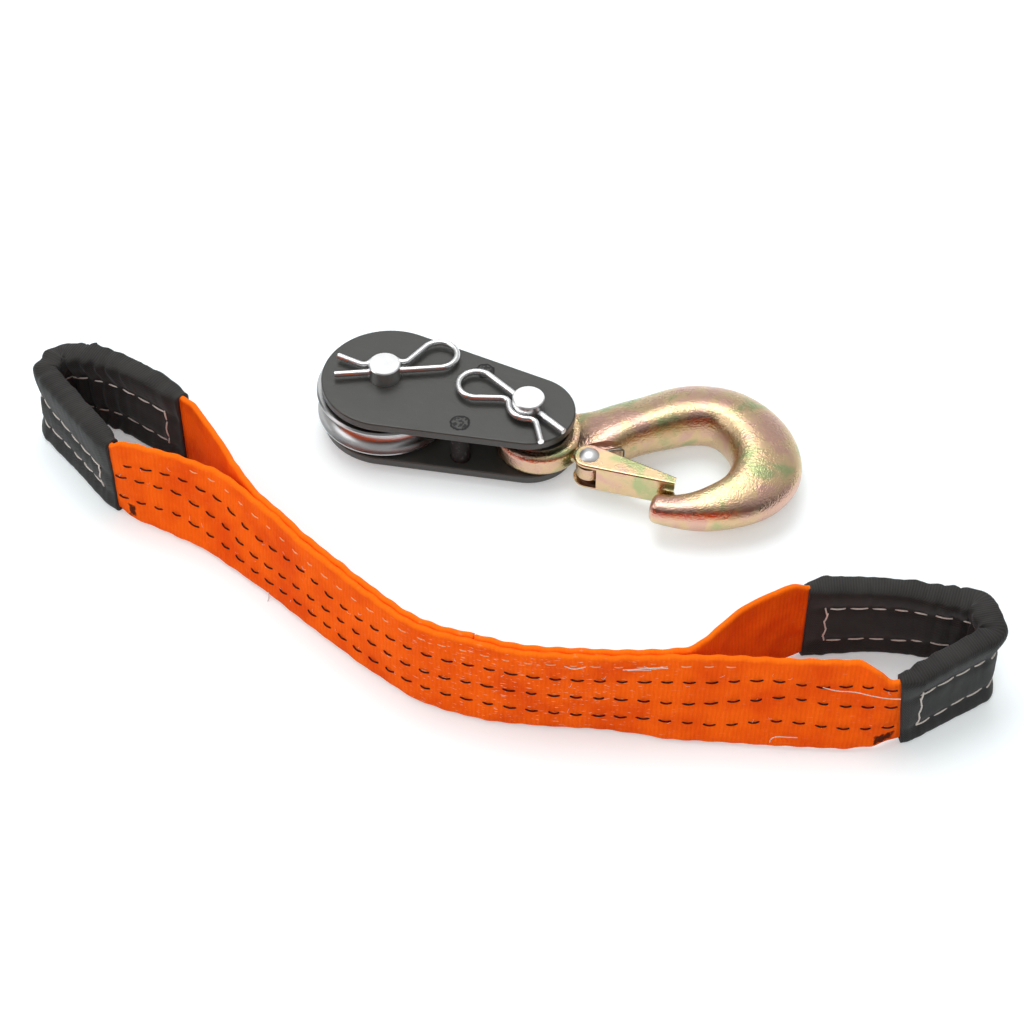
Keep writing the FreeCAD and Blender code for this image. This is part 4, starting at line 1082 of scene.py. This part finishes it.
class SNATCH_OT_sheave(bpy.types.Operator):
    """Plate the sheave and show its bronze bushing"""
    bl_idname = "snatch.sheave"
    bl_label = "Sheave"

    def execute(self, context):
        colours = context.scene.snatch_colours
        # Painted shade: the sheave sits between the side plates, so it gets the plating's zinc darkened to
        # 0.58 of its colour
        wear_and_shade = tuple(0.58 * c for c in colours.zinc)
        finish_nodes(zinc_finish("Turned zinc", wear_and_shade, 0.14, turned=True), "sheave")
        finish_nodes(plain_metal("Bronze", colours.bronze, 0.35), "sheave_bushing")
        return {"FINISHED"}


class SNATCH_OT_pins(bpy.types.Operator):
    """Plate the clevis pins, their clips and the latch rivet"""
    bl_idname = "snatch.pins"
    bl_label = "Pins and clips"

    def execute(self, context):
        colours = context.scene.snatch_colours
        finish_nodes(zinc_finish("Bright zinc", colours.zinc, 0.10), "sheave_pin", "hook_pin")
        finish_nodes(zinc_finish("Wire zinc", colours.zinc, 0.03), "sheave_pin_clip", "hook_pin_clip")
        finish_nodes(plain_metal("Dull zinc", colours.zinc, 0.42), "latch_rivet")
        return {"FINISHED"}


class SNATCH_OT_hook(bpy.types.Operator):
    """Plate the hook, its latch and its spring"""
    bl_idname = "snatch.hook"
    bl_label = "Hook"

    def execute(self, context):
        colours = context.scene.snatch_colours
        finish_nodes(gold_finish("Forged yellow zinc", colours, 750.0, 0.45), "hook")
        finish_nodes(gold_finish("Stamped yellow zinc", colours, 800.0, 0.10), "latch")
        steel = plain_metal("Spring steel", colours.steel, 0.3)
        coils = add_piece("spring_coils", spring_part(False), steel, "hook")
        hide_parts("latch_spring")
        add_piece("spring_web_legs", spring_part(True), steel, "latch")
        return {"FINISHED"}


class SNATCH_OT_webbing(bpy.types.Operator):
    """Weave the doubled webbing of the strap"""
    bl_idname = "snatch.webbing"
    bl_label = "Webbing"

    def execute(self, context):
        sizes = context.scene.snatch_strap
        corners, radii = webbing_corners(sizes)
        path = even_path(rounded_path(corners, radii), 1.2)
        normals = path_normals(path)
        width = sizes.webbing_width / MM
        thickness = sizes.webbing_thickness / MM
        section = stadium(width, thickness, 20)
        floor = sizes.sleeve_wall / MM
        pitch = sizes.seam_pitch / MM
        stretches = sleeved_stretches(path, sizes)
        rings = []
        coordinates = []
        travelled = 0.0
        for index, (point, normal) in enumerate(zip(path, normals)):
            if index:
                travelled += (point - path[index - 1]).length
            ring = []
            sewn_here = seam_share(point.x, point.y)
            narrow, gather, enclosed, leans = gathered(travelled, stretches, width)
            squeeze = narrow / width
            stitch_wave = 0.5 - 0.5 * math.cos(2 * math.pi * point.x / pitch)
            for across, height in section:
                share = height / width
                pull = row_dimple(point.x, share, pitch) * sewn_here
                edge = fade(share, 0.86, 1.0) + 0.6 * (1 - fade(share, 0.0, 0.14))
                scallop = sizes.scallop / MM * edge * sewn_here * stitch_wave
                ripple = 0.35 * noise.noise(Vector((travelled / 9, height / 16, 3.0)))
                creased = noise.noise(Vector((travelled / 40, height / 4.5, 8.0)))
                pucker = 0.9 * gather * (1 - gather) * 4 * creased
                sunk = across * (1 - 0.28 * pull) + ripple + pucker + leans * (0.9 * share - 0.45)
                sunk -= far_bulge(point.x, point.y, share)
                place = point + normal * sunk
                lean = lean_at(point.x, point.y, share) * (1 - enclosed)
                drop = scallop if share > 0.5 else -scallop
                ring.append((place.x, place.y + lean, floor + 0.8 * gather + height * squeeze - drop))
                coordinates.append((travelled, height))
            rings.append(ring)
        mesh = mesh_of_rings("webbing", [rings], coordinates, capped=True)
        cloth = webbing_finish(context.scene.snatch_colours, sizes.webbing_width)
        piece = add_piece("webbing", mesh, cloth)
        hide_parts("strap_webbing")
        return {"FINISHED"}


def seam_lines(sizes, rows):
    """Lines of the seam's rows on the near face, then on the far face behind it."""
    thickness = sizes.webbing_thickness / MM
    near = even_path(rounded_path(SEAM_FACE, SEAM_RADII[1:4]), 1.5)
    back_corners = offset_corners(SEAM_FACE, thickness * 2 + sizes.ply_gap / MM)
    back = even_path(rounded_path(back_corners, SEAM_RADII[1:4]), 1.5)
    lines = []
    runs = ((near, -1, -101.0, 287.0), (back, 1, LEFT_MERGE_X + 12, RIGHT_MERGE_X - 14))
    for path, side, low, high in runs:
        normals = path_normals(path)
        for row in rows:
            line = []
            for point, normal in zip(path, normals):
                if max(low, row[0][0]) <= point.x <= min(high, row[-1][0]):
                    share, = between_stations(row, point.x)
                    outward = normal * side
                    place = point - outward * SEAM_SINK
                    lean = lean_at(point.x, point.y, share)
                    height = sizes.sleeve_wall / MM + share * sizes.webbing_width / MM
                    stitch = Vector((place.x, place.y + lean, height)) * MM
                    line.append((stitch, (outward.x, outward.y, 0.0)))
            lines.append(line)
    return lines


class SNATCH_OT_seam(bpy.types.Operator):
    """Sew the rows of dark stitches that hold the two plies together"""
    bl_idname = "snatch.seam"
    bl_label = "Seam"

    def execute(self, context):
        sizes = context.scene.snatch_strap
        thread = thread_finish("Seam thread", context.scene.snatch_colours.seam_thread)
        sewn("seam_stitches", seam_lines(sizes, SEAM_ROWS), sizes.seam_pitch, sizes.seam_stitch,
             sizes.thread_width * 0.85, SEAM_BOW * MM, thread)
        rubbed = thread_finish("Rubbed thread", RUBBED_TINT)
        sewn("faint_stitches", seam_lines(sizes, [FAINT_ROW])[:1], sizes.seam_pitch, sizes.seam_stitch * 0.8,
             sizes.thread_width * 0.6, 0.75 * SEAM_BOW * MM, rubbed)
        white = thread_finish("Loose thread", context.scene.snatch_colours.sleeve_thread)
        rows = seam_lines(sizes, SEAM_ROWS)[:len(SEAM_ROWS)]
        grown("seam_fuzz", fibre_tree(), rows, Pitch=sizes.fuzz_pitch, Length=FIBRE_LENGTH * MM,
              Thickness=FIBRE_WIDTH * MM, Spread=FIBRE_SPREAD * MM, Material=white)
        ends = [[self.on_face(sizes, *knot) for knot in path] for path in LOOSE_THREADS]
        add_piece("loose_threads", thread_mesh("loose_threads", ends, LOOSE_RADIUS * MM), white)
        return {"FINISHED"}

    def on_face(self, sizes, x, share, off):
        """Place before the near face, in metres."""
        face_y = point_at_x(SEAM_FACE, x)[1]
        y = face_y + lean_at(x, face_y, share) - off
        return Vector((x, y, sizes.sleeve_wall / MM + share * sizes.webbing_width / MM)) * MM


def sleeve_path(side, sizes):
    """Middle line of one eye's sleeve, in millimetres."""
    near, far = ply_middles(sizes)
    if side == "left":
        seam, seam_radius, eye, radii = near[:2], SEAM_RADII[0], LEFT_EYE[:-1], LEFT_EYE_RADII[:-1]
        merge, margins = LEFT_EYE[-1], LEFT_SLEEVE_MARGINS
    else:
        seam, seam_radius, eye, radii = [near[-1], near[-2]], SEAM_RADII[-1], RIGHT_EYE, RIGHT_EYE_RADII
        merge, margins = point_at_x(far, RIGHT_MERGE_X), RIGHT_SLEEVE_MARGINS
    corner, after, last, before, onward = (Vector(p) for p in (seam[0], eye[0], eye[-1], eye[-2], merge))
    front = corner + (Vector(seam[1]) - corner).normalized() * SLEEVE_LEAD
    back = last + (onward - last).normalized() * SLEEVE_LEAD
    corners = [front, corner] + [Vector(p) for p in eye] + [back]
    points = even_path(rounded_path(corners, [seam_radius] + radii), 0.5)
    run_in = (after - corner).normalized()
    run_out = (before - last).normalized()
    middle = len(points) // 2
    kept = [p for k, p in enumerate(points)
            if (k > middle or (p - corner).dot(run_in) >= margins[0])
            and (k < middle or (p - last).dot(run_out) >= margins[1])]
    return even_path(kept, 0.9)


def bend_amount(normals, index, reach=5):
    """Signed turn of a path about a point, in radians."""
    before = normals[max(0, index - reach)]
    after = normals[min(len(normals) - 1, index + reach)]
    return math.atan2(before.x * after.y - before.y * after.x, before.dot(after))


class SNATCH_OT_sleeves(bpy.types.Operator):
    """Sew the black cloth sleeves round both eyes"""
    bl_idname = "snatch.sleeves"
    bl_label = "Eye sleeves"

    def execute(self, context):
        sizes = context.scene.snatch_strap
        cloth = sleeve_finish(context.scene.snatch_colours)
        thread = thread_finish("Sleeve thread", context.scene.snatch_colours.sleeve_thread)
        for side, seed in (("left", 1.0), ("right", 5.0)):
            path = sleeve_path(side, sizes)
            surface = self.sleeve(side, path, seed, sizes, cloth)
            self.stitches(side, path, surface, sizes, thread)
        return {"FINISHED"}

    def sleeve(self, side, path, seed, sizes, cloth):
        """Cloth tube, pinched by its two rows of stitches and creased at the bends."""
        normals = path_normals(path)
        wall = sizes.sleeve_wall / MM
        inside = sizes.webbing_thickness / MM + SLEEVE_SLACK
        width = sizes.webbing_width / MM
        outer = stadium(width, inside + 2 * wall, 24)
        inner = stadium(width - 2 * wall + SLEEVE_SLACK, inside, 24)
        puff = sizes.sleeve_puff / MM
        travelled = 0.0
        shells = [[], []]
        coordinates = [[], []]
        total = sum((b - a).length for a, b in zip(path, path[1:]))
        eye_side = -1 if side == "left" else 1
        for index, (point, normal) in enumerate(zip(path, normals)):
            if index:
                travelled += (point - path[index - 1]).length
            turn = bend_amount(normals, index)
            open_end = min(travelled, total - travelled)
            stands, inward, *rows = between_stations(SLEEVE_SHAPES[side], travelled / total)
            sway = 0.5 * noise.noise(Vector((travelled / 21, seed, 2.0))) * fade(open_end, 0.0, 12.0)
            slant = MOUTH_SLANTS[side] * (1 - fade(travelled, 2.0, 16.0))
            folds = math.exp(-((travelled / total - FOLDS[side][0]) / 0.13) ** 2)
            flattened = 0.35 + 0.65 * fade(open_end, 0.0, 9.0)
            run = Vector((normal.y, -normal.x))
            for shell, section, base in ((0, outer, 0.0), (1, inner, wall - SLEEVE_SLACK / 2)):
                ring = []
                for across, height in section:
                    share = (height + base) / width
                    outward = 1 if across > 0 else -1
                    pinch = sum(math.exp(-((share - row) / 0.05) ** 2) for row in rows)
                    roll = fade(share, rows[1] + 0.02, 0.93) + 0.5 * (1 - fade(share, 0.04, 0.2))
                    swell = puff * (0.30 + 1.1 * roll - 0.5 * pinch) * flattened
                    crease = noise.noise(Vector((travelled / 5.0, share * 1.3 + outward, seed)))
                    fine = noise.noise(Vector((travelled / 2.2, share * 6.0 + outward, seed + 4)))
                    bent = min(1.0, abs(turn) * 1.4)
                    squeezed = 1.0 if turn * outward > 0 else 0.35
                    wrinkle = crease * (0.45 + 1.9 * bent * squeezed) + fine * 0.22
                    phase = travelled * 0.82 + seed + 1.5 * share + fine
                    folded = folds * squeezed * (math.sin(phase) - 0.2)
                    bulk = 1.6 * folds * fade(share, rows[1], 0.9)
                    out = (swell + bulk + wrinkle * 0.8 + FOLDS[side][1] * folded) if shell == 0 else 0.0
                    limit = -0.7 if shell == 0 else 0.0
                    sideways = across + sway * share + outward * max(out, limit) * min(1.0, abs(across))
                    sideways += inward * (share - 0.5) * eye_side
                    place = point + normal * sideways + run * slant * (1 - share)
                    lift = 0.8 * crease * fade(share, 0.8, 1.0) if shell == 0 else 0.0
                    ring.append((place.x, place.y, max(0.0, (height + base) * stands / width + lift)))
                    coordinates[shell].append((travelled, height if outward > 0 else 2 * width - height))
                shells[shell].append(ring)
        mesh = mesh_of_rings(side + "_sleeve", shells, coordinates[0] + coordinates[1], capped=False)
        piece = add_piece(side + "_sleeve", mesh, cloth)
        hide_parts(side + "_eye_sleeve")
        return shells[0], outer

    def stitches(self, side, path, surface, sizes, thread):
        """A box of stitches on each face of a sleeve."""
        rings, section = surface
        normals = path_normals(path)
        width = sizes.webbing_width / MM
        spacing = (path[1] - path[0]).length
        first = round(BOX_MARGIN / spacing)
        last = len(rings) - 1 - first
        half_stitch = round(sizes.sleeve_pitch / MM / 2 / spacing)
        rows, ends = [], []
        shares = [between_stations(SLEEVE_SHAPES[side], k / (len(rings) - 1))[2:] for k in range(len(rings))]
        for outward in (1, -1):
            def on_face(index, share):
                places = [(abs(height / width - share), k) for k, (across, height) in enumerate(section)
                          if across * outward > 0]
                x, y, z = rings[index][min(places)[1]]
                facing = normals[index] * outward
                sunk = Vector((x - facing.x * SLEEVE_SINK, y - facing.y * SLEEVE_SINK, z))
                return sunk * MM, (facing.x, facing.y, 0.0)
            for row in (0, 1):
                rows.append([on_face(k, shares[k][row])
                             for k in range(first + half_stitch, last - half_stitch)])
            for end in (first, last):
                low, high = shares[end]
                count = round((high - low) * width / END_STITCH)
                for step in range(count):
                    middle, facing = on_face(end, low + (high - low) * (step + 0.5) / count)
                    slant = normals[end].orthogonal() * (0.22 if step % 2 else -0.22)
                    ends.append(single_stitch(middle, Vector((slant.x, slant.y, 1.0)), facing))
        thickness = sizes.thread_width * 0.85
        sewn(side + "_sleeve_stitches", rows, sizes.sleeve_pitch, sizes.sleeve_stitch, thickness,
             SLEEVE_BOW * MM, thread)
        sewn(side + "_sleeve_end_stitches", ends, sizes.sleeve_pitch, END_STITCH * MM, thickness,
             END_BOW * MM, thread)


STEPS = (SNATCH_OT_stage, SNATCH_OT_plates, SNATCH_OT_sheave, SNATCH_OT_pins, SNATCH_OT_hook,
         SNATCH_OT_webbing, SNATCH_OT_seam, SNATCH_OT_sleeves)


class SNATCH_PT_panel(bpy.types.Panel):
    """Steps, sizes and colours of the snatch block set"""
    bl_idname = "SNATCH_PT_panel"
    bl_label = "Snatch Block"
    bl_space_type = "VIEW_3D"
    bl_region_type = "UI"
    bl_category = "Snatch Block"

    def draw(self, context):
        for step in STEPS:
            self.layout.operator(step.bl_idname)
        scene = context.scene
        for settings in (scene.snatch_strap, scene.snatch_colours, scene.snatch_stage):
            box = self.layout.box()
            for name in settings.bl_rna.properties.keys():
                if name not in ("rna_type", "name"):
                    box.prop(settings, name)


CLASSES = (StrapSizes, FinishColours, StageSettings) + STEPS + (SNATCH_PT_panel,)


def register():
    for cls in CLASSES:
        bpy.utils.register_class(cls)
    bpy.types.Scene.snatch_strap = PointerProperty(type=StrapSizes)
    bpy.types.Scene.snatch_colours = PointerProperty(type=FinishColours)
    bpy.types.Scene.snatch_stage = PointerProperty(type=StageSettings)


def unregister():
    del bpy.types.Scene.snatch_strap
    del bpy.types.Scene.snatch_colours
    del bpy.types.Scene.snatch_stage
    for cls in reversed(CLASSES):
        bpy.utils.unregister_class(cls)


def main():
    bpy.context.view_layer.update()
    register()
    bpy.ops.snatch.stage()
    bpy.ops.snatch.plates()
    bpy.ops.snatch.sheave()
    bpy.ops.snatch.pins()
    bpy.ops.snatch.hook()
    bpy.ops.snatch.webbing()
    bpy.ops.snatch.seam()
    bpy.ops.snatch.sleeves()


if __name__ == "__main__":
    main()
